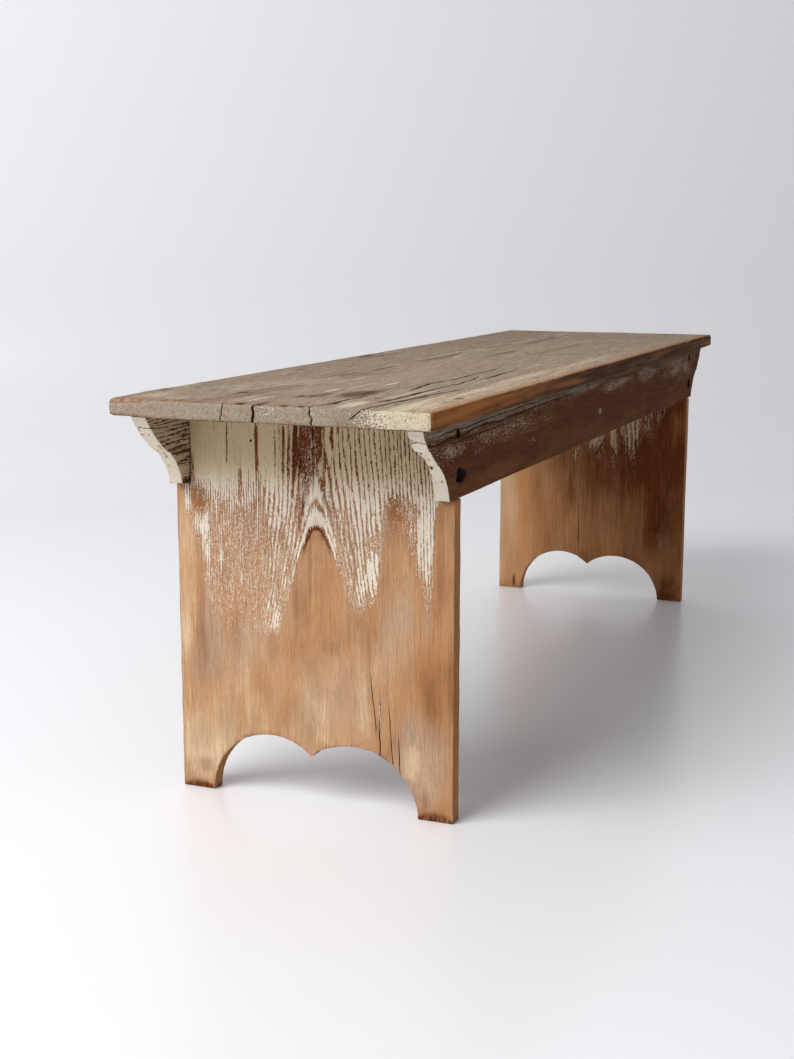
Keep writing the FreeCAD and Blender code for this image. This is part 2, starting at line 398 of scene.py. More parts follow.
class Hole(NamedTuple):
    """A nail's dished hole in a board's showing face, and how black its rim is: partly iron stain, partly
    painted shade in the hole.
    """

    along: float
    across: float
    radius: float
    depth: float
    dish: float
    black: float = 0.85


def flow(board, along, through, low, high):
    """How the grain is pushed aside by the splits at one place along a board: rows of (was, is) across it."""
    strips = []
    for split in board.splits:
        home = split.home()
        across, width, _ = read(split.rows, along)
        middle = across + split.lean * (board.thickness - through)
        middle += 1.1 * wander(along, home, 0, 17, 9, board.seed)
        middle += 0.5 * wander(along, home, 0, 5, 9, board.seed)
        middle += 1.6 * wander(through, home, 0, 4.5, 9, board.seed + 5)
        half = max(width, 0.5) / 2
        strips += [(home - HAIR, middle - half), (home, middle), (home + HAIR, middle + half)]
    rows, last = [(low, low)], -math.inf
    for was, now in sorted(strips):
        last = max(now, last + 0.05)
        rows.append((was, last))
    return [*rows, (high, high)]


def press_holes(board, along, across):
    """How far a nail's blow has pressed the wood in at one place, and how black it is there: partly iron
    stain, partly painted shade in the hole.
    """
    inward = black = 0.0
    for hole in board.holes:
        distance = math.hypot(along - hole.along, across - hole.across)
        if distance < hole.radius * 2.2:
            inward += hole.dish * smooth(hole.radius * 2.2 - distance, 0, hole.radius * 1.2)
            inward += hole.depth * smooth(hole.radius * 1.12 - distance, 0, hole.radius * 0.2)
            black = max(black, hole.black * smooth(hole.radius * 1.25 - distance, 0, hole.radius * 0.5))
    return inward, black


def weather(bm, board, sizes):
    """Mark every point of a board with its finish, and wear it down."""
    layers = {mark: bm.verts.layers.float.new(mark) for mark in MARKS}
    grain = bm.verts.layers.float_vector.new("grain")
    low = min(vert.co.y for vert in bm.verts)
    high = max(vert.co.y for vert in bm.verts)
    homes = {round(split.home(), 3): split for split in board.splits}
    ridge, hollow, chip = sizes.ridge / MM, sizes.hollow / MM, sizes.chip / MM
    bm.normal_update()
    moves = []
    for vert in bm.verts:
        along, across, through = vert.co
        normal = vert.normal.copy()
        vert[grain] = vert.co
        split = homes.get(round(across, 3))
        if board.splits:
            across = read(flow(board, along, through, low, high), across)[0]
        depth = 0.0
        if split:
            depth = read(split.rows, along)[2] * smooth(through - board.thickness + split.deep, -1.5, 1.5)
        ring = board.rings(along, across, through)
        ring += 0.55 * wander(along, across, through, 160, 26, board.seed + 1)
        ring += 0.32 * wander(along, across, through, 55, 7, board.seed + 8)
        marks = board.finish(along, across, through, normal)
        # The crack mark darkens a split's walls from the lip down: partly dirt in the split, partly painted
        # shade in it.
        marks["crack"] = max(min(depth / 1.7, 1.0), marks.get("crack", 0.0))
        marks["primed"] = marks.get("primed", smooth(marks.get("paint", 0.0), 0.02, 0.3))
        marks["ring"] = ring
        marks["endgrain"] = smooth(abs(normal.x), 0.55, 0.85)
        marks["figure"] = marks.get("figure", 1.0) * (1 - 0.85 * marks["endgrain"])

        # The soft wood between the hard rings sinks, use wears hollows, and the edges chip.
        soft = 1 - smooth(ring % 1.0, 0.35, 0.85)
        inward = ridge * soft * (1 - 0.6 * marks["endgrain"])
        inward += hollow * (0.5 + 0.5 * wander(along, across, through, 150, 45, board.seed + 2))
        edge = smooth(1 - max(abs(part) for part in normal), 0.03, 0.22)
        rough = wander(along, across, through, 26, 7, board.seed + 3)
        rough += 0.5 * wander(along, across, through, 9, 3.5, board.seed + 4)
        chipped = edge * smooth(rough, 0.12, 0.75) * (0.25 + marks.get("battered", 0.0))
        inward += chip * (0.1 * edge + chipped) + marks.get("worn", 0.0)
        marks["paint"] = marks.get("paint", 0.0) - 1.3 * chipped
        marks["stain"] = marks.get("stain", 0.0) + 0.7 * chipped
        inward += depth * (1.0 if normal.z > -0.5 else 0.35)
        if normal.z > 0.5:
            pressed, black = press_holes(board, along, across)
            inward += pressed
            marks["crack"] = max(marks["crack"], black)
        for mark, layer in layers.items():
            vert[layer] = marks.get(mark, 0.0)
        moves.append((vert, Vector((along, across, through)) - normal * inward))
    for vert, place in moves:
        vert.co = place


def make_board(board, material, sizes):
    """Build one board: outline, thickness, rounded edges, saw cuts, wear and finish."""
    bm = bmesh.new()
    board.outline(lambda along, across: Pencil(bm, along, across))
    grown = bmesh.ops.extrude_face_region(bm, geom=bm.faces[:])["geom"]
    bmesh.ops.translate(bm, verts=only(grown, bmesh.types.BMVert), vec=UP * board.thickness)
    bmesh.ops.recalc_face_normals(bm, faces=bm.faces[:])
    sharp = [edge for edge in bm.edges if edge.calc_face_angle(0) > math.radians(25)]
    bmesh.ops.bevel(
        bm, geom=sharp, offset=board.arris, offset_type="OFFSET", segments=3, profile=0.5, affect="EDGES",
        material=-1, clamp_overlap=True,
    )
    saw_board(bm, board, sizes)
    weather(bm, board, sizes)
    bmesh.ops.transform(bm, matrix=board.matrix(), verts=bm.verts[:])
    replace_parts(finish_piece(bm, board.name, material), board.name)


def new_object(name, data):
    """An object of the scene that shows some data."""
    thing = bpy.data.objects.new(name, data)
    bpy.context.scene.collection.objects.link(thing)
    return thing


def smooth_mesh(name, bm, material):
    """Turn a bmesh into a smooth mesh of one material."""
    for face in bm.faces:
        face.smooth = True
    mesh = bpy.data.meshes.new(name)
    bm.to_mesh(mesh)
    bm.free()
    mesh.materials.append(material)
    return mesh


def finish_piece(bm, name, material):
    """Turn a bmesh into a piece of the bench that rides with it."""
    piece = new_object(name + "_looks", smooth_mesh(name + "_looks", bm, material))
    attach(piece, "root")
    return piece


# ---------------------------------------------------------------- the seat's marks

SEAT_SPLITS = (
    Split((
        (-641, -50, 2.3, 17.5), (-628, -52, 4.2, 15), (-612, -54, 8, 13.8), (-600, -55, 9.1, 11.2),
        (-574, -54, 6, 6.2), (-530, -58, 2.3, 1.8), (-480, -60, 0.6, 0),
    ), lean=-0.2),
    Split((
        (-455, -77, 0.6, 0), (-440, -75, 3.9, 2.5), (-372, -67, 4.9, 3.2), (-345, -71, 3.5, 2.2),
        (-300, -74, 3.5, 2.5), (-235, -72, 4.5, 3.2), (-180, -73, 2.8, 1.8), (-120, -68, 0.5, 0),
    )),
    Split((
        (-572, -97, 0.5, 0), (-555, -95, 5.6, 4.2), (-520, -96, 6.3, 5.5), (-470, -95, 6.3, 5.2),
        (-430, -94, 3.5, 2.5), (-350, -97, 3.5, 2.2), (-300, -92, 2.8, 1.8), (-250, -84, 0.5, 0),
    )),
    Split(((-300, -104, 0.5, 0), (-260, -102, 4.2, 2.8), (-200, -99, 3.9, 2.5), (-150, -101, 0.5, 0))),
    Split((
        (-641, -105, 2.2, 11.2), (-628, -105, 4.5, 8.8), (-560, -109, 5.2, 4.2), (-500, -113, 6, 4.8),
        (-455, -118, 3.1, 2.2), (-430, -122, 3.9, 3), (-410, -123, 0.5, 0),
    ), lean=1.15, deep=9),
    Split(((-641, 9, 3.4, 11.2), (-628, 8, 3.1, 3.8), (-600, 6, 1.8, 1.5), (-585, 5, 0.5, 0))),
    Split(((-641, 42, 1.4, 6.2), (-630, 41, 1.4, 1.5), (-605, 40, 0.5, 0)), lean=0.1),
    Split(((-200, 60, 0.5, 0), (-120, 62, 2.4, 1.5), (40, 58, 2.8, 1.8), (160, 61, 0.5, 0))),
)
SEAT_STAINS = patches(
    (-505, -42, 52, 22, 0.75), (-535, -12, 45, 12, 0.45), (-548, 3, 14, 6, 0.9), (-470, -50, 60, 10, 0.4),
    (-545, 162, 14, 7, 0.8), (-538, 75, 14, 6, 0.7), (-638, 24, 22, 6, 0.9), (-500, 66, 40, 4, 0.4),
    (-641, 3, 22, 5, 0.8), (-640, -22, 20, 5, 0.9), (-641, -40, 16, 5, 0.9), (-560, -92, 20, 5, 0.6),
    (-20, 163, 34, 9, 0.8), (-545, 115, 70, 40, 0.3), (-550, -155, 16, 4, 0.6), (-300, 70, 60, 30, 0.15),
    (90, 6, 90, 7, 0.45), (-560, 60, 90, 60, 0.12), (-30, 148, 60, 14, 0.25), (-260, 50, 120, 40, 0.14),
    (-510, -152, 12, 4, 0.5), (200, -40, 160, 10, 0.3), (350, 40, 200, 14, 0.25),
)
SEAT_PALES = patches(
    (-560, 120, 110, 50, 0.32), (-440, 90, 120, 40, 0.2), (-600, 40, 60, 30, 0.25), (-600, -78, 48, 14, 0.6),
    (-490, -86, 90, 6, 0.48), (-610, -132, 60, 14, 0.24), (-590, -140, 60, 24, 0.16), (-480, -1, 34, 4, 0.64),
    (-388, -30, 34, 5, 0.56), (-425, -10, 60, 5, 0.4), (-520, -130, 80, 6, 0.32), (-340, 30, 40, 4, 0.4),
    (-500, -102, 130, 3.5, 0.56), (-100, -100, 60, 5, 0.32), (-440, -142, 90, 8, 0.28),
    (-620, 150, 60, 14, 0.2), (-560, -62, 60, 4, 0.24), (-620, -20, 40, 8, 0.24), (-580, 30, 50, 4, 0.24),
    (-250, -135, 140, 12, 0.24), (0, -140, 180, 10, 0.2), (-330, -110, 60, 4, 0.32), (-420, 60, 60, 4, 0.16),
)
SEAT_END_CHIPS = patches((13, -4, 9, 24, 0.36), (9, -34, 9, 14, 0.24), (12, 60, 8, 20, 0.14))
SEAT_EDGE_DARK = patches((-65, 10, 48, 30, 0.6))


def seat_rings(along, across, through):
    """Nearly straight rings that widen toward the back edge."""
    pith_depth = 70 + 0.012 * (along + 200)
    return math.hypot(across - 60, through + pith_depth) / 2.9


def seat_finish(along, across, through, normal):
    """Grey and weathered on top, a scrubbed pale band at the front, paint on the near end's front third."""
    top, under = facing(normal.z), facing(-normal.z)
    front, back = facing(-normal.y, 0.85), facing(normal.y, 0.85)
    near_end, far_end = facing(-normal.x, 0.85), facing(normal.x, 0.85)
    rim = smooth(-normal.x, 0.15, 0.4) * smooth(normal.z, 0.15, 0.4)
    lip = smooth(-normal.y, 0.15, 0.4) * smooth(abs(normal.z), 0.15, 0.4)
    band = smooth(-across + 9 * wander(along, across, through, 210, 24, 5), 112, 150)
    band *= 0.35 + 0.65 * smooth(-along, -350, 450)
    corner = smooth(70 - math.hypot(along + SEAT_END, across - SEAT_SIDE), 0, 60)
    far_corner = smooth(60 - math.hypot(along - SEAT_END, across + SEAT_SIDE), 0, 50)
    ragged = wander(0, across, through, 9, 7, 6) + wander(0, across, through, 9, 2.5, 7)
    near_rim = smooth(-along + 14 * wander(along, across, 0, 20, 14, 6), 606, 640) * smooth(across, -70, 10)
    near_rim *= 0.35 + 0.65 * smooth(wander(along, across, 0, 16, 5, 9), -0.3, 0.4)
    painted_end = near_end * smooth(-across + 10 * ragged, 45, 145)
    chips = patches_at(SEAT_END_CHIPS, through, across)
    front_dark = smooth(along, -600, 0) + patches_at(SEAT_EDGE_DARK, along, through)
    front_stain = 0.04 + 0.9 * front_dark + 0.55 * wander(along, 0, through, 90, 5, 8)
    front_stain += 0.5 * smooth(7 - through, 0, 6)

    # The edges are rounded over by use: more above than below, and most at the worn corner.
    dents = 1.6 * smooth(wander(along, across, 0, 26, 6, 21), -0.1, 0.6)
    over = 3.2 + 4.6 * corner + 2.6 * far_corner + dents
    below = 2.4 + 4.0 * corner + 1.6 * far_corner + 0.6 * dents
    bend = 11 if along < 0 < across else 5
    past = max(bend - SEAT_END + abs(along), 0), max(bend - SEAT_SIDE + abs(across), 0)
    from_outline = bend - math.hypot(*past)
    on_arris = 4 * normal.z * normal.z * (1 - normal.z * normal.z)
    worn = corner * (0.6 * under + 0.8 * (near_end + back))
    worn += top * rounding(from_outline, over) + under * rounding(from_outline, below)
    side = near_end + far_end + front + back
    worn += side * (rounding(SEAT_THICK - through, over) + rounding(through, below))
    worn += 0.41 * on_arris * ((over if normal.z > 0 else below) - 2.2)
    return {
        "silver": top * (0.95 - 0.3 * band) + near_end + far_end + 0.35 * under + 0.4 * back + 0.8 * rim,
        "pale": top * (0.36 * band + 0.13 + patches_at(SEAT_PALES, along, across)) + 0.5 * lip,
        "stain": top * (patches_at(SEAT_STAINS, along, across) + 0.12 * smooth(along, 0, 600))
        + 0.25 * near_rim * top + 0.42 * under + rim * smooth(across, -20, 10) * (0.4 + 0.9 * ragged)
        + 0.3 * painted_end
        + 0.2 * near_end * smooth(5 - through, 0, 5) + front * front_stain * (1 - lip),
        "warm": top * (0.6 * near_rim + 0.05 * corner + 0.75 * smooth(-across, 158, 174)) + 0.35 * under
        + 0.5 * back + 0.7 * rim * smooth(across, -90, -20) + front * (1.3 - 0.5 * front_dark)
        + near_end * (0.08 * corner + 0.6 * smooth(ragged, 0.4, 0.9)),
        "paint": 0.66 * painted_end + near_end * (0.06 + 0.12 * corner + chips) + 0.22 * back
        + 0.16 * far_end,
        "primed": 0.2 * painted_end + 0.2 * back,
        "chalk": 0.4 * painted_end + near_end * (0.14 + 0.3 * corner) + 0.2 * top * band,
        "grime": 0.1 + 0.5 * painted_end + 0.2 * far_end,
        "battered": 0.25 + 0.6 * smooth(-normal.z, 0.1, 0.5) + 0.4 * corner,
        "worn": worn,
    }


# ---------------------------------------------------------------- the legs' marks

# Across the near leg: above which height its paint is whole, below which it is gone, over how far it
# fades there, and how much of it is left between.
NEAR_LEG_PAINT = (
    (-161, 430, 350, 10, 0.2), (-149, 420, 335, 12, 0.25), (-142, 345, 318, 20, 0.3),
    (-137, 330, 200, 95, 0.46), (-131, 335, 190, 100, 0.5), (-125, 340, 225, 75, 0.48),
    (-116, 345, 262, 45, 0.42), (-105, 345, 276, 60, 0.32), (-95, 345, 280, 70, 0.28),
    (-86, 342, 272, 65, 0.32), (-80, 340, 232, 50, 0.36), (-72, 340, 214, 50, 0.42),
    (-62, 342, 204, 50, 0.46), (-50, 348, 200, 60, 0.5), (-40, 352, 224, 60, 0.48), (-30, 352, 245, 45, 0.44),
    (-20, 352, 270, 25, 0.44), (-8, 350, 280, 15, 0.46), (3, 345, 262, 25, 0.42), (10, 340, 225, 45, 0.42),
    (18, 340, 190, 80, 0.42), (25, 342, 170, 90, 0.42), (35, 346, 160, 100, 0.4), (45, 352, 158, 110, 0.36),
    (55, 354, 145, 120, 0.33), (70, 350, 138, 120, 0.31), (90, 346, 138, 120, 0.33),
    (108, 346, 145, 120, 0.33), (118, 348, 180, 90, 0.38), (128, 350, 262, 35, 0.3),
    (133, 400, 285, 35, 0.36), (138, 420, 300, 20, 0.46), (144, 420, 322, 14, 0.42), (150, 430, 345, 12, 0.3),
)
NEAR_LEG_BLOTCHES = patches(
    (204, 42, 30, 14, 0.34), (190, 36, 18, 9, 0.26), (186, 52, 14, 14, 0.2), (256, -74, 28, 12, 0.34),
    (230, -60, 22, 20, 0.26), (245, -72, 36, 9, 0.15), (284, -128, 40, 13, 0.28), (256, -134, 34, 6, 0.2),
    (296, 124, 22, 13, 0.32), (276, 119, 30, 9, 0.22), (238, 114, 40, 7, 0.22), (255, 98, 14, 6, 0.25),
    (304, -9, 14, 14, 0.35), (318, 140, 22, 6, 0.55), (300, 36, 10, 14, 0.25), (338, 104, 20, 10, 0.35),
    (330, -84, 30, 6, -0.2), (318, 124, 22, 16, -0.42), (388, 8, 40, 7, -0.5), (372, 15, 44, 8, -0.55),
    (340, 12, 30, 7, -0.3), (372, 0, 62, 9.5, -1.3), (386, -13, 34, 6.5, -1.0), (350, -19, 40, 4, -0.6),
    (398, -8, 10, 8, -0.4), (318, 8, 36, 4, -0.3), (342, 76, 34, 3, -0.6), (376, 57, 52, 3.4, -0.75),
    (386, 91, 46, 1.8, -0.9), (352, 45, 30, 2.6, -0.5), (350, 106, 26, 3, -0.3), (345, 66, 22, 2, -0.4),
    (385, 27, 34, 5, -0.45), (372, 36, 30, 3, -0.35), (320, 98, 24, 10, -0.12), (326, -106, 26, 24, -0.34),
    (322, -92, 22, 8, -0.2), (392, -28, 24, 5, -0.5), (375, -39, 24, 4, -0.4), (330, -26, 40, 4, -0.4),
    # The thin bright row at 110 along, -80 across is painted light: the bright floor seen through the split
    # at the foot, drawn as a line of paint.
    (395, -60, 22, 3, -0.4), (372, -52, 26, 3, -0.35), (110, -80, 27, 1.4, 1.2), (285, -5, 16, 4, 0.5),
    (268, -18, 14, 2.5, 0.3), (360, -5, 40, 3, 0.25),
)
LEG_STAINS = patches(
    (372, 1.5, 58, 8, 0.6), (322, 124, 22, 16, 0.3), (326, -100, 20, 16, 0.22), (384, 10, 46, 9, 0.7),
    (364, 16, 44, 8, 0.45), (345, 3.5, 56, 3.5, 1.0), (388, -13, 34, 7, 0.95), (345, -19, 44, 4, 0.5),
    (297, -9, 5, 8, 0.7), (291, -2, 9, 3, 0.7), (290, -17, 9, 3, 0.4), (382, 27, 36, 6, 0.5),
    (396, -8, 14, 12, 0.6), (315, 8, 40, 4, 0.5), (330, -27, 44, 4, 0.4), (250, -3, 45, 3, 0.22),
    (240, -10, 40, 2.5, 0.16), (230, 14, 60, 5, 0.22), (205, -46, 50, 4, 0.2), (150, -68, 60, 4, 0.2),
    (165, 42, 26, 10, 0.28), (172, -25, 14, 16, 0.2), (145, -145, 50, 26, 0.18), (150, -158, 90, 5, 0.3),
    (150, 118, 60, 26, 0.14), (60, 128, 26, 22, 0.16), (28, 124, 12, 14, 0.34), (100, -143, 40, 18, 0.12),
    (268, -146, 80, 6, 0.3), (70, -96, 22, 10, 0.2), (60, -84, 10, 8, 0.4), (80, 90, 40, 20, 0.1),
    (4, 60, 12, 140, 0.2), (4, -60, 14, 140, 0.3), (4, -142, 8, 22, 0.45), (22, -130, 14, 6, 0.25),
    # The row at 95 along, -79 across darkens the split at the foot: partly dirt, partly painted shade in the
    # split.
    (3, 132, 7, 22, 0.5), (95, -79, 12, 2, 0.5), (200, 10, 50, 16, 0.12), (130, 10, 60, 22, 0.12),
    (190, -70, 50, 20, 0.1), (90, 10, 30, 30, 0.1),
)
LEG_GREYS = patches(
    (165, 114, 66, 20, 0.6), (160, 70, 50, 40, 0.35), (62, -126, 64, 40, 1.0), (210, -133, 46, 5, 0.6),
    (180, -100, 60, 30, 0.25), (130, -50, 50, 30, 0.25), (220, -105, 40, 14, 0.3), (112, -28, 40, 28, 0.25),
    (30, 134, 40, 18, 0.25), (75, -20, 40, 30, 0.15), (110, 130, 60, 12, 0.2), (190, -110, 50, 20, 0.15),
    (40, 110, 22, 14, 0.2),
)
LEG_WARMS = patches(
    (320, 122, 26, 20, 0.9), (322, -98, 26, 22, 0.7), (110, 50, 60, 40, 0.5), (150, -140, 56, 34, 0.45),
    (210, -20, 80, 34, 0.3), (90, 120, 50, 30, 0.3), (120, -100, 60, 14, 0.3), (250, 145, 90, 6, 0.4),
)
LEG_PALES = patches(
    (240, 140, 120, 15, 0.45), (60, -125, 40, 24, 0.35), (180, 147, 230, 8, 0.25), (240, -110, 60, 24, 0.3),
    (150, -60, 50, 14, 0.25), (90, 60, 40, 20, 0.2), (200, -50, 40, 14, 0.2), (90, 40, 100, 160, 0.3),
    (45, 126, 56, 34, 0.6), (60, -115, 26, 14, 0.4), (30, -140, 22, 14, 0.3),
)
LEFT_LEG_SPLITS = (
    Split(((325, -7.2, 0.5, 0), (345, -7.4, 0.8, 1.2), (390, -7.8, 1.0, 1.6), (413, -8, 1.0, 2.0))),
    Split((
        (84, -76.5, 0.5, 0), (95, -76.2, 0.9, 1.2), (120, -73, 1.0, 1.4), (140, -70.6, 0.8, 1.0),
        (152, -70, 0.5, 0),
    )),
    Split((
        (50, -79.5, 1.9, 16), (72, -80, 1.6, 9), (86, -80, 1.3, 4), (92, -80.2, 1.0, 1.2),
        (138, -80.5, 0.5, 0),
    )),
    Split((
        (40, -97, 1.2, 6), (60, -94.5, 1.0, 2), (84, -92.5, 0.9, 1.4), (112, -91, 0.8, 1.2),
        (124, -90, 0.5, 0),
    )),
    Split(((40, -103, 1.3, 8), (66, -102.3, 1.0, 2), (80, -102, 0.8, 1.2), (92, -102, 0.5, 0))),
)
LEG_CHALK = patches((366, -4, 76, 17, 0.62))

# The tip of the near leg's pointed ring, along and across the board.
TIP_ALONG, TIP_ACROSS = 299, -11


def cathedral(along, across):
    """How far outside the near leg's pointed ring a place lies, as a squared distance; inside, below 0."""
    below = TIP_ALONG - along
    aside = across - TIP_ACROSS - 3 * smooth(along, 300, 400)
    return aside * aside - 9 * below - (0.06 if below > 0 else 0.036) * below * below


def leg_rings(along, across, through):
    """Cathedral grain: pointed rings in the middle, near upright lines to each side, finest at the left."""
    outside = cathedral(along, across) - 45 * (LEG_THICK - through)
    ring = math.copysign(math.sqrt(abs(outside) + 144) - 12, outside) / (4.8 if outside > 0 else 7)
    return ring + 0.15 * max(0, across - 50) + 0.06 * max(0, -across - 100)


def worn_paint(rows, along, across, noise_reach, seed):
    """How much paint is left at one place, from a table across the board."""
    whole, gone, fade, level = read(rows, across)
    gone += 18 * wander(along, across, 0, 60, noise_reach, seed)
    whole += 14 * wander(along, across, 0, 60, noise_reach, seed + 1)
    level += 0.2 * wander(along, across, 0, 60, 8, seed + 2)
    level += 0.1 * wander(along, across, 0, 26, 3.4, seed + 3)
    worn = max(level, 0.0) * smooth(along, gone - 8, gone + fade)
    return worn + (0.95 - level) * smooth(along, whole - 55, whole + 12)


def leg_finish(along, across, through, normal):
    """Bare pine below, worn cream paint above, as the near leg's outer face has it."""
    face, inner, edge = facing(normal.z), facing(-normal.z), facing(abs(normal.y), 0.85)
    once = 1.2 * worn_paint(NEAR_LEG_PAINT, along, across, 3.2, 9)

    # The pointed ring has cream outside it, ends the paint sharply and is outlined in dark near its tip.
    ring = cathedral(along, across)
    aside = across - TIP_ACROSS
    inside = -ring / math.hypot(2 * aside, 9 + 0.12 * max(TIP_ALONG - along, 0))
    around = smooth(ring, -30, 60) * smooth(300 - ring, 0, 180)
    coverage = once + 0.34 * around * smooth(along, 225, 262) * smooth(318 - along, 0, 14)
    coverage += patches_at(NEAR_LEG_BLOTCHES, along, across)
    coverage *= max(smooth(-inside, -1.5, 1.2), smooth(along, 300, 306), smooth(-along, -140, -130))
    outline = smooth(2.6 - abs(inside - 1.2), 0, 1.6) * smooth(along, 262, 284)
    outline *= smooth(22 - abs(aside), 0, 8)

    painted = smooth(coverage, 0.08, 0.32)
    primed = smooth(once, 0.02, 0.3) * (0.4 + 0.6 * smooth(along, 210, 350))
    chalk = 0.62 * smooth(coverage, 0.02, 0.3) * smooth(0.8 - coverage, 0, 0.4) + 0.2 * smooth(once, 0.0, 0.1)
    stain = patches_at(LEG_STAINS, along, across) + 1.1 * outline + 0.2 * smooth(along, 330, 380)
    stain += 0.3 * max(wander(along, across, 0, 50, 20, 31), 0)
    pale = patches_at(LEG_PALES, along, across) + 0.5 * max(wander(along, across, 0, 60, 24, 32), 0)
    silver = patches_at(LEG_GREYS, along, across) + 0.5 * max(wander(along, across, 0, 70, 26, 34), 0)
    wet_foot = smooth(7 - along, 0, 6) * smooth(wander(along, across, through, 6, 3, 7), -0.15, 0.35)
    smooth_top = smooth(across + 10 * wander(along, across, 0, 60, 9, 33), 26, 44) * smooth(along, 326, 352)
    figure = (0.36 + 0.64 * painted) * (1 - 0.5 * smooth(-ring, 0, 90) * (1 - painted))
    figure *= 1 - (0.55 if across > 15 else 0.3) * smooth(345 - along, 0, 50) * painted
    return {
        "paint": face * min(coverage, 1.0) + 0.5 * inner * smooth(along, 330, 400) + 0.1 * edge,
        "primed": face * primed * max(smooth(ring, -50, 40), smooth(along, 300, 310)) + 0.5 * inner,
        "chalk": face * (chalk * (1 - 0.8 * smooth(along, 335, 360)) + patches_at(LEG_CHALK, along, across)),
        # The grime toward the seat is partly real grime and partly painted shade under the seat's overhang;
        # on the inner face it is also partly painted shade.
        "grime": smooth(along, 322, 362) * face + inner,
        # The stain on the narrow edges is partly real dirt and partly painted shade for the front edge, which
        # faces away from the lamp.
        "stain": face * stain + 0.3 * inner * smooth(along, 60, 380) + 0.35 * edge + 0.9 * wet_foot,
        "warm": face * (0.3 * smooth(-across, 60, 150) + patches_at(LEG_WARMS, along, across))
        + 0.45 * inner + 0.7 * edge,
        "pale": face * pale + 0.1 * inner,
        "silver": face * silver,
        "figure": figure * (1 - 0.62 * smooth_top),
        "battered": 0.12 + 1.7 * smooth(8 - along, 0, 8),
    }


RIGHT_LEG_PAINT = (
    (-161, 420, 330, 20, 0.3), (-125, 400, 300, 25, 0.4), (-115, 395, 268, 40, 0.5),
    (-105, 390, 262, 40, 0.55), (-98, 380, 246, 40, 0.5), (-90, 370, 268, 30, 0.4), (-84, 350, 228, 40, 0.6),
    (-74, 340, 198, 60, 0.62), (-64, 335, 218, 50, 0.62), (-57, 345, 246, 40, 0.4), (-51, 335, 226, 40, 0.45),
    (-46, 330, 195, 50, 0.62), (-39, 330, 198, 50, 0.62), (-34, 350, 272, 30, 0.3), (-28, 330, 236, 30, 0.55),
    (-18, 320, 216, 30, 0.6), (-5, 320, 228, 30, 0.6), (5, 330, 238, 25, 0.55), (13, 340, 262, 20, 0.3),
    (20, 320, 208, 30, 0.6), (26, 325, 224, 30, 0.55), (32, 345, 262, 20, 0.3), (40, 380, 290, 20, 0.3),
    (150, 420, 330, 30, 0.3),
)
RIGHT_LEG_SPLITS = (
    Split(((74, 13.6, 0.5, 0), (90, 13.6, 1.2, 1.4), (130, 13.8, 1.5, 1.8), (158, 14, 0.5, 0))),
)
RIGHT_LEG_STAINS = patches(
    (186, 25, 66, 9, 0.2), (215, -60, 70, 90, 0.25), (150, -110, 110, 20, 0.3), (170, 32, 40, 14, 0.12),
    (20, -140, 30, 30, 0.3), (14, 126, 12, 4, 0.8), (4, 60, 12, 140, 0.3), (4, -60, 14, 140, 0.4),
    (75, 70, 40, 20, 0.15), (58, -70, 20, 50, 0.2), (200, 90, 60, 14, 0.15), (60, 4, 20, 12, 0.3),
)
RIGHT_LEG_GREYS = patches(
    (172, -66, 34, 34, 0.4), (190, 18, 60, 10, 0.35), (90, -135, 50, 22, 0.35), (40, 140, 60, 20, 0.5),
    (170, 142, 60, 14, 0.5), (140, 130, 50, 10, 0.25),
)


def right_leg_rings(along, across, through):
    """Upright lines, widest apart in the middle of the board."""
    return math.hypot(across + 30, 62 + through + 0.04 * along) / 2.9


def right_leg_finish(along, across, through, normal):
    """The far leg: brown and smoked inside, its paint run down below the apron."""
    face, outer, edge = facing(normal.z), facing(-normal.z), facing(abs(normal.y), 0.85)
    if outer > 0:
        turned = Vector((normal.x, -normal.y, -normal.z))
        marks = leg_finish(along, 2 * LEG_MIDDLE - across, through, turned)
    else:
        marks = {"battered": 0.12 + 1.6 * smooth(8 - along, 0, 8)}
    coverage = 1.1 * worn_paint(RIGHT_LEG_PAINT, along, across, 2.6, 12)
    smoke = 0.06 + 0.3 * smooth(-across, -120, -20) + 0.14 * wander(along, across, 0, 90, 30, 17)
    smoke += 0.3 * smooth(along, 70, 280) * smooth(-across, -120, -10)
    smoke += 0.36 * smooth(along, -60, 160) * smooth(-across, 10, 160)
    own = {
        "paint": face * min(coverage, 0.8),
        "primed": face * 0.5 * smooth(coverage, 0.02, 0.3),
        "chalk": face * 0.5 * smooth(coverage, 0.0, 0.3),
        # The grime over the far leg's paint is partly real grime and partly painted shade: this face lies in
        # the bench's shade.
        "grime": face,
        # The stain on the narrow edges is partly real dirt and partly painted shade for the front edge, which
        # faces away from the lamp.
        "stain": face * (smoke + patches_at(RIGHT_LEG_STAINS, along, across)) + 0.3 * edge,
        "warm": face * (0.72 + 0.5 * wander(along, across, 0, 70, 30, 18)) + 0.5 * edge,
        "pale": face * smooth(across, 95, 145),
        "silver": face * patches_at(RIGHT_LEG_GREYS, along, across),
        "figure": face * (0.35 + 0.5 * smooth(coverage, 0.08, 0.32)),
    }
    return {mark: marks.get(mark, 0.0) + own.get(mark, 0.0) for mark in {*marks, *own}}


# ---------------------------------------------------------------- the aprons' marks

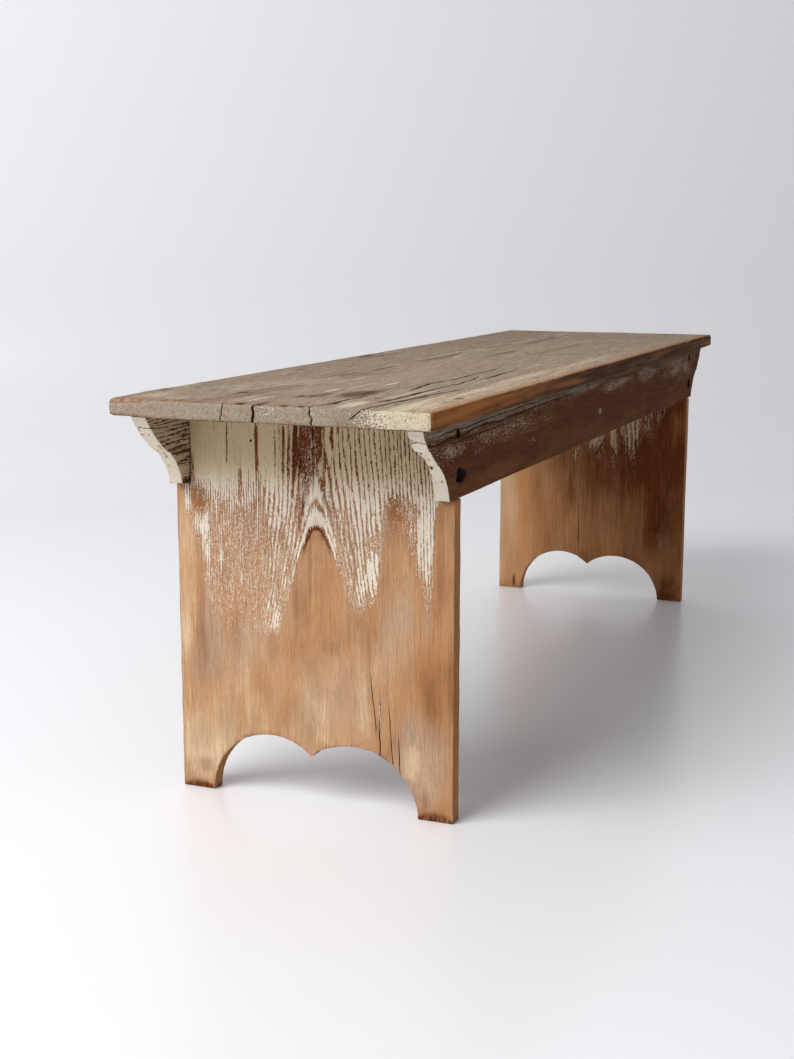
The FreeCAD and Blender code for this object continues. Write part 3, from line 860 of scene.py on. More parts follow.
FRONT_APRON_SPLITS = (
    Split((
        (-628, 68, 0.8, 1.4), (-612, 61, 1.1, 2.0), (-590, 60, 1.4, 2.4), (-560, 63, 1.0, 1.8),
        (-535, 61.5, 1.6, 2.8), (-500, 64, 1.1, 2.2), (-455, 65.5, 1.3, 2.4), (-400, 64, 1.0, 2.0),
        (-330, 66, 1.2, 2.0), (-240, 68, 1.1, 1.8), (-150, 67.5, 1.0, 1.6), (-100, 68, 0.5, 0),
    )),
    Split((
        (-600, 68, 0.5, 0), (-570, 70, 0.8, 1.4), (-520, 69, 1.0, 1.6), (-440, 71, 0.9, 1.6),
        (-350, 72, 0.9, 1.4), (-240, 73, 0.8, 1.2), (-190, 73, 0.5, 0),
    )),
    Split(((-629.5, 40, 0.8, 4), (-612, 41, 0.9, 3), (-596, 40, 0.9, 2.2), (-585, 38, 0.5, 0)), lean=0.45),
    Split(((-560, 56, 0.5, 0), (-520, 57, 0.8, 1.0), (-430, 58, 0.9, 1.2), (-340, 57, 0.5, 0))),
)
FRONT_APRON_CHALK = patches(
    (-6, 34, 11, 7, 0.8), (20, 60, 90, 8, 0.35), (120, 64, 50, 6, 0.4), (-437, 51, 40, 17, 0.42),
    (-470, 46, 34, 17, 0.3), (-385, 50, 50, 16, 0.35), (-300, 50, 60, 16, 0.32), (-540, 50, 40, 13, 0.4),
    (-575, 44, 40, 20, 0.35), (-345, 54, 30, 10, 0.25), (-235, 52, 30, 14, 0.4), (-295, 29, 16, 7, 0.35),
    (-610, 58, 24, 12, 0.5), (-430, 54, 260, 22, 0.25), (-150, 60, 60, 12, 0.3), (60, 62, 90, 12, 0.35),
    (250, 62, 80, 16, 0.5), (400, 60, 140, 22, 0.5), (540, 55, 60, 24, 0.5), (470, 50, 90, 40, 0.3),
    (150, 60, 200, 20, 0.25),
)
FRONT_APRON_STAINS = patches(
    (-516, 21, 30, 9, 0.9), (-526, 21, 16, 12, 0.5), (100, 58, 260, 18, 0.3), (-40, 55, 80, 16, 0.25),
    (-540, 40, 70, 24, 0.3), (-520, 45, 130, 20, 0.25), (-20, 36, 12, 3, 0.5), (-220, 0, 44, 3, 0.9),
    (-180, 0, 30, 3, 0.9), (-200, 68, 12, 8, 0.5), (-470, 28, 60, 12, 0.25), (-440, 40, 40, 8, 0.4),
    (-590, 20, 50, 30, 0.2), (250, 30, 300, 40, 0.4),
)
FRONT_APRON_PAINT = patches((-66, 66, 5, 13, 1.0))
# The burst hole's dark middle is painted shade in the hole as well as dirt.
BURST_HOLE = patches((-524, 22, 15, 9, 1.0))


def apron_rings(along, across, through):
    """Fine rings that run the length of the apron and dip toward its ends."""
    return math.hypot(across - 20 + 0.00002 * along * along, through + 46 + 0.01 * along) / 2.6


def apron_sides(along, normal):
    """How much a point belongs to the showing face, the inner face, a sawn end and the bottom edge."""
    face = facing(normal.z)
    hollow = smooth(abs(along), APRON_BOTTOM - 1.5, APRON_BOTTOM + 1.5) * smooth(-normal.y, 0.3, 0.7)
    sawn = max(smooth(abs(normal.x), 0.2, 0.5), hollow) * (1 - face)
    return face, facing(-normal.z), sawn, facing(-normal.y, 0.8) * (1 - sawn)


def front_apron_finish(along, across, through, normal):
    """Smoked nearly black, a grey band under the seat, the sawn ends still thick with paint."""
    face, inner, sawn, bottom = apron_sides(along, normal)
    ragged = across + 6 * wander(along, across, 0, 60, 9, 12) + 5 * wander(along, across, 0, 14, 3, 13)
    top_band = smooth(ragged, 61, 69) * (1 - 0.5 * smooth(along, -150, 100))
    lower = smooth(30 - across + 8 * wander(along, across, 0, 130, 14, 15), 0, 20)
    mottle = wander(along, across, 0, 120, 16, 16)
    smear = wander(along, across, 0, 34, 12, 22)
    stain = 0.92 - 0.95 * top_band - 0.4 * lower + 0.4 * mottle + 0.25 * smear
    chalk = 0.16 + 0.25 * mottle - 0.2 * smear + patches_at(FRONT_APRON_CHALK, along, across)
    return {
        "silver": face * (top_band + 0.12 + 0.3 * smear) + 0.2 * inner,
        "stain": face * (stain + patches_at(FRONT_APRON_STAINS, along, across)) + 0.5 * inner + 0.45 * bottom,
        "warm": face * (0.6 + 0.3 * lower) * (1 - top_band) + 0.5 * inner + 0.6 * bottom,
        "paint": 0.5 * face * patches_at(FRONT_APRON_PAINT, along, across) + 1.25 * sawn + 0.34 * inner,
        "chalk": face * chalk + 0.4 * inner,
        "crack": 0.3 * face * patches_at(BURST_HOLE, along, across),
        # The grime on the front apron is partly real grime and partly painted shade: its face looks away from
        # the lamp, and its inner face lies under the seat.
        "grime": 0.6 * inner + 0.3 * face,
        "figure": 0.8 - 0.4 * sawn,
        "battered": 0.2 + 0.25 * sawn,
    }


BACK_APRON_SPLITS = (
    Split(((555, 36, 0.5, 0), (570, 36.4, 0.8, 1.2), (600, 38, 1.0, 1.4), (620, 39, 0.5, 0))),
    Split(((575, 61, 0.5, 0), (600, 64, 0.8, 1.4), (629, 66, 0.9, 2.0))),
)


def back_apron_finish(along, across, through, normal):
    """Stained brown with more of its paint left; its inner face shows dark grain lines through the paint."""
    face, inner, sawn, bottom = apron_sides(along, normal)
    worn_through = wander(along, across, through, 200, 30, 14)
    broken = wander(along, across, through, 40, 9, 15)
    return {
        "silver": 0.25 * face + 0.1 * inner,
        "stain": face * (0.55 + 0.2 * worn_through) + 0.75 * inner + 0.4 * bottom,
        "warm": 0.4 * face + 0.5 * inner + 0.6 * bottom,
        "paint": face * (0.34 + 0.3 * worn_through) + 1.25 * sawn + inner * (0.84 + 0.6 * broken),
        "chalk": 0.5 * face,
        "grime": 0.12 * sawn + 0.8 * inner + 0.25 * face,
        "figure": 1.0 - 0.5 * sawn,
        "battered": 0.2 + 0.3 * sawn,
    }


# ---------------------------------------------------------------- nails


class NailRow(NamedTuple):
    """One CAD node of nails: how many, the way out of the wood, and how far their heads are sunk."""

    node: str
    count: int
    outward: tuple
    sunk: float
    shank: float = 54.0


NAIL_ROWS = (
    NailRow("seat_nails_left_leg", 3, (0, 0, 1), 0.9),
    NailRow("seat_nails_right_leg", 3, (0, 0, 1), 0.9),
    NailRow("seat_nails_front_apron", 5, (0, 0, 1), 0.8),
    NailRow("seat_nails_back_apron", 5, (0, 0, 1), 0.8),
    NailRow("front_left_apron_nails", 2, (0, -1, 0), 3.4),
    NailRow("front_right_apron_nails", 2, (0, -1, 0), 2.6),
    NailRow("back_left_apron_nails", 2, (0, 1, 0), 1.6),
    NailRow("back_right_apron_nails", 2, (0, 1, 0), 1.6),
)
HEAD_WIDE, HEAD_DEEP = 7.5, 6.0
# A short nail in the middle of the front apron that holds nothing any more. Its head catches the light.
STRAY_NAIL = NailRow("stray_nail", 1, (0, -1, 0), -0.3, 11.0)
STRAY_NAIL_PLACE = (-6, -161.5, 369)


def nail_places(row):
    """The middle of each head's top, in metres, spread evenly over the node's own box."""
    low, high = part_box(row.node)
    outward = Vector(row.outward)
    size = high - low
    middle = (low + high) / 2
    face = middle + outward * abs(outward.dot(size)) / 2
    spread = Vector((1, 0, 0)) if size.x > 0.05 else (Vector((0, 1, 0)) if outward.z else UP)
    head = HEAD_DEEP if outward.z and spread.y else (HEAD_WIDE if spread.x else HEAD_DEEP)
    length = abs(spread.dot(size)) - head * MM
    return [face + spread * length * (number / (row.count - 1) - 0.5) for number in range(row.count)]


# Each step down a cut nail from the top of its head: how far, and how many times as wide it gets.
NAIL_STEPS = ((0.7, 1.06), (1.1, 0.98), (0.5, 0.55))
NAIL_TIP = 0.55


def forge_nail(bm, place, row, number):
    """A cut nail: hammered head, tapered shank sheared from flat plate, blunt tip."""
    outward = Vector(row.outward)
    side = Vector((1, 0, 0))
    turn = Matrix((side, outward.cross(side), outward)).transposed().to_4x4()
    lay = Matrix.Translation(place - outward * row.sunk * MM) @ turn @ Matrix.Scale(MM, 4)
    part = bmesh.new()
    top = bmesh.ops.create_grid(part, x_segments=6, y_segments=5, size=0.5)["verts"]
    bmesh.ops.scale(part, vec=(HEAD_WIDE - 0.4, HEAD_DEEP - 0.4, 1), verts=top)
    rim = [edge for edge in part.edges if edge.is_boundary]
    for drop, wide in (*NAIL_STEPS, (row.shank, NAIL_TIP)):
        grown = bmesh.ops.extrude_edge_only(part, edges=rim)["geom"]
        verts, rim = only(grown, bmesh.types.BMVert), only(grown, bmesh.types.BMEdge)
        bmesh.ops.translate(part, verts=verts, vec=(0, 0, -drop))
        bmesh.ops.scale(part, vec=(wide, 1 if drop == row.shank else wide, 1), verts=verts)
    bmesh.ops.holes_fill(part, edges=rim, sides=0)
    bmesh.ops.recalc_face_normals(part, faces=part.faces[:])
    for vert in part.verts:
        bow = 1 - (vert.co.x / HEAD_WIDE * 2) ** 2 * 0.5 - (vert.co.y / HEAD_DEEP * 2) ** 2 * 0.5
        dent = noise.noise(vert.co * 0.6 + Vector((number * 3.7, place.x * 9, place.y * 9)))
        if vert.co.z > -0.1:
            vert.co.z += 0.35 * bow - 0.35 + 0.25 * dent
        elif vert.co.z > -2.5:
            vert.co.x *= 1 + 0.05 * dent
            vert.co.y *= 1 - 0.05 * dent
    bmesh.ops.transform(part, matrix=lay, verts=part.verts[:])
    mesh = bpy.data.meshes.new("nail")
    part.to_mesh(mesh)
    part.free()
    bm.from_mesh(mesh)
    bpy.data.meshes.remove(mesh)


def holes_for(nodes, board_matrix, radius, depth, dish=0.25, black=0.85):
    """The holes of some rows of nails, on a board's own axes."""
    back = board_matrix.inverted()
    holes = []
    for row in NAIL_ROWS:
        if row.node in nodes:
            for place in nail_places(row):
                spot = back @ place
                holes.append(Hole(spot.x, spot.y, radius, depth + row.sunk, dish, black))
    return tuple(holes)


# ---------------------------------------------------------------- materials


def add(tree, kind, inputs=(), **settings):
    """Add a node with its settings. An input may be a node or a socket, which is linked, or a value."""
    node = tree.nodes.new(kind)
    for name, value in settings.items():
        setattr(node, name, value)
    for key, value in dict(inputs).items():
        if isinstance(value, bpy.types.Node):
            value = next(socket for socket in value.outputs if socket.enabled)
        if isinstance(value, bpy.types.NodeSocket):
            tree.links.new(value, node.inputs[key])
        else:
            node.inputs[key].default_value = value
    return node


def new_material(name):
    """An empty node material, and its tree."""
    material = bpy.data.materials.new(name)
    material.use_nodes = True
    material.node_tree.nodes.clear()
    return material, material.node_tree


def speckle(tree, grain, reach, shift):
    """Spots from 0 to 1, as long and as wide as reach says in millimetres."""
    along, across = reach
    sized = {0: grain, 1: (1 / along, 1 / across, 1 / across), 2: (shift, shift * 1.7, shift * 0.6)}
    spread = add(tree, "ShaderNodeVectorMath", sized, operation="MULTIPLY_ADD")
    spots = add(tree, "ShaderNodeTexNoise", {"Vector": spread, "Scale": 1.0, "Detail": 3.0, "Roughness": 0.6})
    return add(tree, "ShaderNodeMapRange", {0: spots, 1: 0.32, 2: 0.68})


def look_up(names, item):
    """What a name stands for, or the item itself."""
    return names[item] if isinstance(item, str) else item


def weigh(tree, masks, *parts):
    """Add up masks, each times its weight. Either may be the name of a mask."""
    total = 0.0
    for part, weight in parts:
        inputs = {0: look_up(masks, part), 1: look_up(masks, weight), 2: total}
        total = add(tree, "ShaderNodeMath", inputs, operation="MULTIPLY_ADD")
    return total


def lay(tree, masks, tones, ground, *coats):
    """Lay coats over a ground: each has its mask, its strength where the mask is 1, and its colour."""
    ground = look_up(tones, ground)
    for mask, strength, coat in coats:
        inputs = {0: look_up(masks, mask), 1: strength}
        share = add(tree, "ShaderNodeMath", inputs, operation="MULTIPLY", use_clamp=True)
        ground = add(tree, "ShaderNodeMix", {0: share, 6: ground, 7: look_up(tones, coat)}, data_type="RGBA")
    return ground


# How long and how wide each kind of spot in the wood is, in millimetres. Pine's real pores and hairs are
# finer than a render can show, so the pores, crumbs and hairs are drawn coarser than they are.
REACHES = {
    "cloud": (75, 30), "broad": (210, 13), "band": (85, 4.2), "hair": (38, 1.3), "dash": (8, 1.3),
    "crumb": (2.6, 1.2), "pore": (1.6, 1.6), "fleck": (3.4, 2.6),
}


def wood_material(name, tones, paint, contrast, flake_reach, shift):
    """Old pine: its rings and streaks, weather, rubbing and stain, then what is left of the paint."""
    material, tree = new_material(name)
    tones = {**tones, "clean": paint.clean, "grimy": paint.grimy}
    masks = {key: add(tree, "ShaderNodeAttribute", attribute_name=key).outputs["Fac"] for key in MARKS}
    grain = add(tree, "ShaderNodeAttribute", attribute_name="grain").outputs["Vector"]
    for number, (key, reach) in enumerate({**REACHES, "flake": flake_reach}.items()):
        masks[key] = speckle(tree, grain, reach, shift + 3.7 * number)
    total, coats = partial(weigh, tree, masks), partial(lay, tree, masks, tones)

    # Latewood comes on slowly across a ring and stops sharply; short hairs of noise make its line ragged.
    ring = total(("ring", 1.0), ("hair", 0.22), ("dash", 0.32), ("crumb", 0.16))
    turn = add(tree, "ShaderNodeMath", {0: ring}, operation="FRACT")
    rise = add(tree, "ShaderNodeMapRange", {0: turn, 1: 0.5, 2: 0.82}, interpolation_type="SMOOTHSTEP")
    fall = add(tree, "ShaderNodeMapRange", {0: turn, 1: 1.0, 2: 0.94}, interpolation_type="SMOOTHSTEP")
    masks["late"] = total((total((rise, fall)), "figure"))
    masks["check"] = add(tree, "ShaderNodeMapRange", {0: masks["hair"], 1: 0.66, 2: 0.95})

    wood = coats(
        "early", ("cloud", 0.85, "dull"), ("broad", 0.35, "warm"), ("band", 0.25, "dull"),
        ("hair", 0.28, "dull"), ("check", 0.34, "late"), ("dash", 0.16, "late"), ("crumb", 0.14, "late"),
        ("late", contrast, "late"),
    )
    rubbed = coats(
        "warm", ("cloud", 0.4, "warm_dark"), ("band", 0.4, "warm_dark"), ("check", 0.25, "late"),
        ("crumb", 0.2, "late"),
    )
    grey = coats(
        "silver", ("cloud", 0.6, "silver_brown"), ("band", 0.75, "silver_dark"),
        ("dash", 0.4, "silver_light"), ("late", 0.65, "silver_dark"), ("check", 1.0, "silver_dark"),
    )
    # End grain has no lines along it, only crushed pores that hold dirt, old paint and rubbed wood.
    ends = coats(
        "end", ("cloud", 0.5, "silver_brown"), ("fleck", 0.5, "end_light"), ("pore", 0.5, "end_dark"),
        ("check", 0.7, "warm_dark"), ("late", 1.0, "end_dark"),
    )
    grey = coats(grey, ("endgrain", 1.0, ends))
    scrub = total(("band", 0.3), ("hair", 0.5), ("dash", 0.3), ("pale", 1.0))
    scrubbed = add(tree, "ShaderNodeMapRange", {0: scrub, 1: 0.82, 2: 1.4})
    uneven = total(("band", 0.2), ("cloud", 0.36), ("dash", 0.24), (1.0, 0.6))
    soaked = total((uneven, "stain"))
    smoked = coats(
        "stain", ("cloud", 0.35, "stain_dark"), ("band", 0.25, "stain_dark"), ("check", 0.5, "stain_dark"),
        ("late", 0.5, "stain_dark"),
    )
    # Grime darkens the wood under old paint: partly real grime, partly painted shade.
    dirty_and_shaded = total(("primed", "grime"))
    specks = total(("crumb", 0.6), ("dash", 0.4), ("chalk", 0.5))
    specks = add(tree, "ShaderNodeMapRange", {0: specks, 1: 0.88, 2: 1.1})
    wood = coats(
        wood, ("silver", 1.0, grey), (scrubbed, 0.85, "pale"), ("warm", 0.85, rubbed),
        ("primed", 0.75, "under"), (dirty_and_shaded, 0.95, "stain"), (soaked, 1.0, smoked), (specks, 0.62, "speck"),
    )

    # Paint holds where its coverage beats the noise, and lets go first on the hard lines.
    hold = total(
        ("flake", 0.2), ("hair", 0.24), ("crumb", 0.22), ("dash", 0.17), ("pore", 0.24), ("late", 0.6),
    )
    over = total(("paint", 1.0), (hold, -1.0))
    flake = add(
        tree, "ShaderNodeMapRange", {0: over, 1: -paint.edge / 2, 2: paint.edge / 2},
        interpolation_type="SMOOTHSTEP",
    )
    # The grime mark turns the cream toward the grimy colour: partly real grime, partly painted shade under
    # the seat and on shaded faces.
    dirt_and_shade = total(("grime", 0.85), ("band", 0.14))
    cream = coats(
        "clean", (dirt_and_shade, 1.0, "grimy"), ("dash", 0.09, "grit"), ("check", 0.2, "grit"),
        ("crumb", 0.14, "grit"), (soaked, 0.4, "stain"),
    )
    # Splits and nail holes turn to the pit colour: partly dirt, partly painted shade in the recess.
    shaded_gap = add(tree, "ShaderNodeMapRange", {0: masks["crack"], 1: 0.03, 2: 0.16})
    surface = coats(wood, (flake, 0.96, cream), (shaded_gap, 1.0, "pit"))
    shine = add(tree, "ShaderNodeMapRange", {0: flake, 3: 0.85, 4: 0.6})

    # Relief: hard lines and flakes stand up by a few tenths of a millimetre, pores and checks sink.
    pitted = total(("pore", "endgrain"))
    height = total(
        ("late", 0.35), ("dash", 0.25), ("band", 0.3), (flake, 0.4), ("crumb", 0.2), (pitted, -0.8),
        ("check", -0.25),
    )
    bump = add(tree, "ShaderNodeBump", {"Strength": 0.75, "Distance": 0.0009, "Height": height})
    # Dry wood with open pores and chalky paint mirror less than a closed plastic skin does.
    looks = {"Base Color": surface, "Roughness": shine, "Specular IOR Level": 0.12, "Normal": bump}
    shader = add(tree, "ShaderNodeBsdfPrincipled", looks)
    add(tree, "ShaderNodeOutputMaterial", {"Surface": shader})
    return material


def tones_of(**codes):
    """A wood's own colours."""
    return {key: srgb(code) for key, code in codes.items()}


SEAT_TONES = tones_of(
    early="#B08C66", dull="#987657", late="#5E402C", warm="#C07A3C", warm_dark="#7A4520", silver="#B8A28C",
    silver_dark="#6C584A", silver_light="#CBBDA9", silver_brown="#9F8468", pale="#DCCCB0", under="#A08468",
    grit="#A08468", stain="#5C3B27", stain_dark="#35200F", pit="#261206", speck="#E2D6BF", end="#AA9C8A",
    end_light="#D0C3AE", end_dark="#70665C",
)
LEG_TONES = tones_of(
    early="#DBB088", dull="#BC8D65", late="#8C5B36", warm="#C98E5B", warm_dark="#A36B3E", silver="#C5A68A",
    silver_dark="#A88A70", silver_light="#D6BFAB", silver_brown="#BB9981", pale="#E8CCA6", under="#A8744F",
    grit="#A8744F", stain="#783F19", stain_dark="#401B06", pit="#26140B", speck="#EBDFCB", end="#B08A66",
    end_light="#C9A884", end_dark="#7C5A3E",
)
APRON_TONES = tones_of(
    early="#8A5A3A", dull="#704528", late="#482614", warm="#7C4E1E", warm_dark="#58300E", silver="#9C8B76",
    silver_dark="#4A392E", silver_light="#B7A893", silver_brown="#7F6B57", pale="#B39D88", under="#6A4028",
    grit="#A48A66", stain="#6B3916", stain_dark="#3C1707", pit="#160B06", speck="#BBA894", end="#9A8468",
    end_light="#C0AE90", end_dark="#54402F",
)


def weathered_pine(paint):
    """Bare pine weathered grey: the seat. Dull silver with dark hard lines, orange where it is rubbed."""
    return wood_material("weathered_pine", SEAT_TONES, paint, 0.45, (9, 1.6), 2.0)


def painted_pine(paint):
    """Pine under worn oil paint: the legs. Cream flakes between brown rings, warm bare wood below."""
    return wood_material("worn_painted_pine", LEG_TONES, paint, 0.5, (14, 1.7), 40.0)


def smoked_pine(paint):
    """Pine darkened by smoke and old stain: the aprons. Near black brown, paint left in specks."""
    return wood_material("smoked_pine", APRON_TONES, paint, 0.4, (6, 2.0), 80.0)


def nail_steel(name, oxide, pitted, roughness):
    """Cut steel: its skin is a crust of oxide, of another colour in the pits."""
    material, tree = new_material(name)
    place = add(tree, "ShaderNodeTexCoord").outputs["Object"]
    # Rust grows in crusts about a millimetre across.
    spread = {"Vector": place, "Scale": 1 / (1.2 * MM), "Detail": 4.0, "Roughness": 0.65}
    crust = add(tree, "ShaderNodeTexNoise", spread)
    ramp = add(tree, "ShaderNodeMapRange", {0: crust, 1: 0.38, 2: 0.64})
    rust = lay(tree, {}, {}, srgb(oxide), (ramp, 1.0, srgb(pitted)))
    bump = add(tree, "ShaderNodeBump", {"Strength": 0.6, "Distance": 0.0003, "Height": ramp})
    looks = {"Base Color": rust, "Metallic": 0.35, "Roughness": roughness, "Normal": bump}
    shader = add(tree, "ShaderNodeBsdfPrincipled", looks)
    add(tree, "ShaderNodeOutputMaterial", {"Surface": shader})
    return material


def rusty_steel():
    """Nails long rusted: dark brown oxide, orange in the pits, no shine left."""
    return nail_steel("rusted_nail_steel", "#2C1E17", "#6B3F26", 0.72)


def rubbed_steel():
    """The stray nail's head, rubbed pale by passing hands: dull grey with brown pits."""
    return nail_steel("rubbed_nail_steel", "#9C9285", "#5E4A3A", 0.5)


def studio_paint(stage):
    """Matt white studio paint, slightly glossy underfoot. Seen from behind or below it isn't there."""
    material, tree = new_material("studio_paint")
    shader = add(tree, "ShaderNodeBsdfPrincipled", {"Base Color": stage.floor, "Roughness": 0.25})
    behind = add(tree, "ShaderNodeNewGeometry").outputs["Backfacing"]
    nothing = add(tree, "ShaderNodeBsdfTransparent")
    either = add(tree, "ShaderNodeMixShader", {0: behind, 1: shader, 2: nothing})
    add(tree, "ShaderNodeOutputMaterial", {"Surface": either})
    return material


# ---------------------------------------------------------------- operators


UPRIGHT, LENGTHWISE, CROSSWISE = (0, 0, 1), (1, 0, 0), (0, 1, 0)


class BENCH_OT_seat(bpy.types.Operator):
    """Build the seat plank, split and weathered"""

    bl_idname = "bench.seat"
    bl_label = "Seat plank"

    def execute(self, context):
        scene = context.scene
        board = Board(
            "seat_plank", "seat_wood", (0, 0, LEG_HEIGHT), LENGTHWISE, CROSSWISE, SEAT_THICK, draw_seat, 2.2,
            seat_rings, seat_finish, SEAT_SPLITS, finer=(-640, -638.5, -637, -635, -633, -629), seed=1,
            coarser=1.15,
        )
        nodes = [row.node for row in NAIL_ROWS if row.node.startswith("seat_nails")]
        board = board._replace(holes=holes_for(nodes, board.matrix(), 3.9, 0.5, black=0.5))
        make_board(board, weathered_pine(scene.bench_paint), scene.bench_boards)
        return {"FINISHED"}


class BENCH_OT_legs(bpy.types.Operator):
    """Build the two plank legs with their arches and their worn paint"""

    bl_idname = "bench.legs"
    bl_label = "Legs"

    def execute(self, context):
        scene = context.scene
        material = painted_pine(scene.bench_paint)
        left = Board(
            "left_leg", "leg_wood", (-525.5, 0, 0), UPRIGHT, CROSSWISE, LEG_THICK, draw_leg, 0.9, leg_rings,
            leg_finish, LEFT_LEG_SPLITS, (Hole(383, 63, 1.1, 1.0, 0.1),), seed=2, coarser=0.85,
            finer=(2.5, 5.1, 10.2, 12.7, 277.8, 280.4, 285.5, 288.1, 293.2, 295.8, 300.8, 303.4),
        )
        right = Board(
            "right_leg", "leg_wood", (543.5, 0, 0), UPRIGHT, CROSSWISE, LEG_THICK, draw_leg, 0.9,
            right_leg_rings, right_leg_finish, RIGHT_LEG_SPLITS, seed=3,
        )
        for board in (left, right):
            make_board(board, material, scene.bench_boards)
        return {"FINISHED"}


class BENCH_OT_aprons(bpy.types.Operator):
    """Build the two aprons with their ogee ends"""

    bl_idname = "bench.aprons"
    bl_label = "Aprons"

    def execute(self, context):
        scene = context.scene
        material = smoked_pine(scene.bench_paint)
        front = Board(
            "front_apron", "apron_wood", (0, -144.5, NOTCH_UP), LENGTHWISE, UPRIGHT, APRON_THICK, draw_apron,
            1.3, apron_rings, front_apron_finish, FRONT_APRON_SPLITS, seed=4, coarser=0.8,
        )
        nodes = ["front_left_apron_nails", "front_right_apron_nails"]
        holes = list(holes_for(nodes, front.matrix(), 3.8, 1.5, 0.6, 1.0))
        for number, hole in enumerate(holes):
            # The lower nail at each end was driven in hard, and the wood burst round it.
            if hole.across < APRON_HEIGHT / 2:
                holes[number] = hole._replace(along=hole.along + 5, radius=6.6, dish=1.4)
        front = front._replace(holes=tuple(holes))
        back = Board(
            "back_apron", "apron_wood", (0, 135.5, NOTCH_UP), (-1, 0, 0), UPRIGHT, APRON_THICK, draw_apron,
            1.3, apron_rings, back_apron_finish, BACK_APRON_SPLITS, seed=5, coarser=0.8,
        )
        nodes = ["back_left_apron_nails", "back_right_apron_nails"]
        back = back._replace(holes=holes_for(nodes, back.matrix(), 4.2, 0.8, 0.5))
        for board in (front, back):
            make_board(board, material, scene.bench_boards)
        return {"FINISHED"}


class BENCH_OT_nails(bpy.types.Operator):
    """Forge the rows of cut nails"""

    bl_idname = "bench.nails"
    bl_label = "Nails"

    def execute(self, context):
        material = rusty_steel()
        for row in NAIL_ROWS:
            bm = bmesh.new()
            for number, place in enumerate(nail_places(row)):
                forge_nail(bm, place, row, number)
            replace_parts(finish_piece(bm, row.node, material), row.node)
        bm = bmesh.new()
        forge_nail(bm, Vector(STRAY_NAIL_PLACE) * MM, STRAY_NAIL, 0)
        finish_piece(bm, STRAY_NAIL.node, rubbed_steel())
        return {"FINISHED"}


# The studio in metres: half the floor's length and width and how far it is moved, the wall's height and
# the bend at its foot, how far the whole is turned, and the big soft lamp.
FLOOR_HALF, FLOOR_SHIFT = (4.0, 6.0), -2.1
WALL_HEIGHT, WALL_BEND, WALL_TURN = 4.5, 0.5, 34
WINDOW_PLACE, WINDOW_TARGET, WINDOW_SIZE = Vector((-2.7, 1.35, 2.9)), Vector((0, 0, 0.2)), 2.6


def aim(thing, place, heading):
    """Stand a lamp or a camera at a place, looking along a heading."""
    turn = Vector(heading).to_track_quat("-Z", "Y").to_matrix().to_4x4()
    thing.matrix_world = Matrix.Translation(place) @ turn


def draw_sweep():
    """The studio's floor and wall in one sheet with a rounded foot, its front toward the bench."""
    bm = bmesh.new()
    bmesh.ops.create_grid(bm, x_segments=1, y_segments=1, size=1)
    bmesh.ops.scale(bm, vec=(*FLOOR_HALF, 1), verts=bm.verts[:])
    bmesh.ops.translate(bm, vec=(FLOOR_SHIFT, 0, 0), verts=bm.verts[:])
    rear = [edge for edge in bm.edges if all(vert.co.x > 1 for vert in edge.verts)]
    grown = bmesh.ops.extrude_edge_only(bm, edges=rear)["geom"]
    bmesh.ops.translate(bm, vec=UP * WALL_HEIGHT, verts=only(grown, bmesh.types.BMVert))
    fold = [edge for edge in bm.edges if all(vert.co.x > 1 and vert.co.z < 0.1 for vert in edge.verts)]
    bmesh.ops.bevel(
        bm, geom=fold, offset=WALL_BEND, offset_type="OFFSET", segments=12, profile=0.5, affect="EDGES",
        material=-1,
    )
    turn = Matrix.Rotation(math.radians(WALL_TURN), 4, "Z")
    bmesh.ops.transform(bm, matrix=turn, verts=bm.verts[:])
    bmesh.ops.recalc_face_normals(bm, faces=bm.faces[:])
    ground = min(bm.faces, key=lambda face: face.calc_center_median().z)
    if ground.normal.z < 0:
        bmesh.ops.reverse_faces(bm, faces=bm.faces[:])
    return bm


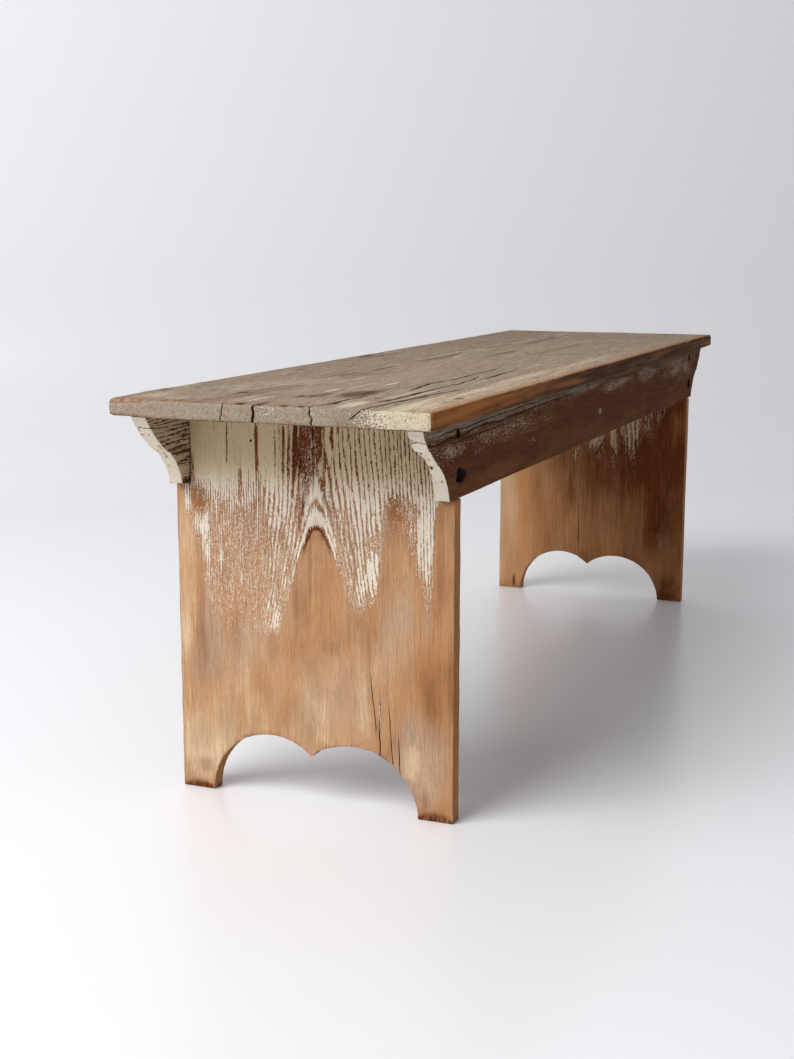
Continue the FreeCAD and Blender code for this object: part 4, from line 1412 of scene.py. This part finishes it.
class BENCH_OT_stage(bpy.types.Operator):
    """Set up the studio: floor and wall in one sweep, lamp and camera"""

    bl_idname = "bench.stage"
    bl_label = "Studio"

    def execute(self, context):
        scene, stage = context.scene, context.scene.bench_stage
        new_object("studio_sweep", smooth_mesh("studio_sweep", draw_sweep(), studio_paint(stage)))

        scene.world = bpy.data.worlds.new("room")
        scene.world.use_nodes = True
        background = scene.world.node_tree.nodes["Background"].inputs
        background["Color"].default_value = srgb("#F4F6FA")
        background["Strength"].default_value = stage.room

        light = bpy.data.lights.new("window", "AREA")
        light.shape = "RECTANGLE"
        light.size = light.size_y = WINDOW_SIZE
        light.energy = stage.window
        aim(new_object("window", light), WINDOW_PLACE, WINDOW_TARGET - WINDOW_PLACE)

        lens = bpy.data.cameras.new("camera")
        lens.sensor_width = 36
        lens.lens = stage.lens
        scene.camera = new_object("camera", lens)
        aim(scene.camera, stage.camera_place, stage.camera_heading)
        scene.view_settings.view_transform = "Standard"
        return {"FINISHED"}


class BENCH_PT_panel(bpy.types.Panel):
    """Lists the bench's operators and settings"""

    bl_idname = "BENCH_PT_panel"
    bl_label = "Bucket bench"
    bl_space_type = "VIEW_3D"
    bl_region_type = "UI"
    bl_category = "Bench"

    def draw(self, context):
        for operator in OPERATORS:
            self.layout.operator(operator.bl_idname)
        for group in (context.scene.bench_paint, context.scene.bench_boards, context.scene.bench_stage):
            box = self.layout.box()
            for name in group.bl_rna.properties.keys():
                if name not in ("rna_type", "name"):
                    box.prop(group, name)


OPERATORS = (BENCH_OT_stage, BENCH_OT_seat, BENCH_OT_legs, BENCH_OT_aprons, BENCH_OT_nails)
GROUPS = {"bench_paint": BenchPaint, "bench_boards": BenchBoards, "bench_stage": BenchStage}


def register():
    """Make the operators, settings and panel known to Blender."""
    for item in (*GROUPS.values(), *OPERATORS, BENCH_PT_panel):
        bpy.utils.register_class(item)
    for name, group in GROUPS.items():
        setattr(bpy.types.Scene, name, bpy.props.PointerProperty(type=group))


def unregister():
    """Take them away again."""
    for name in GROUPS:
        delattr(bpy.types.Scene, name)
    for item in reversed((*GROUPS.values(), *OPERATORS, BENCH_PT_panel)):
        bpy.utils.unregister_class(item)


def main():
    """Build everything: the studio, the seat, the legs, the aprons and the nails."""
    register()
    bpy.ops.bench.stage()
    bpy.ops.bench.seat()
    bpy.ops.bench.legs()
    bpy.ops.bench.aprons()
    bpy.ops.bench.nails()


if __name__ == "__main__":
    main()
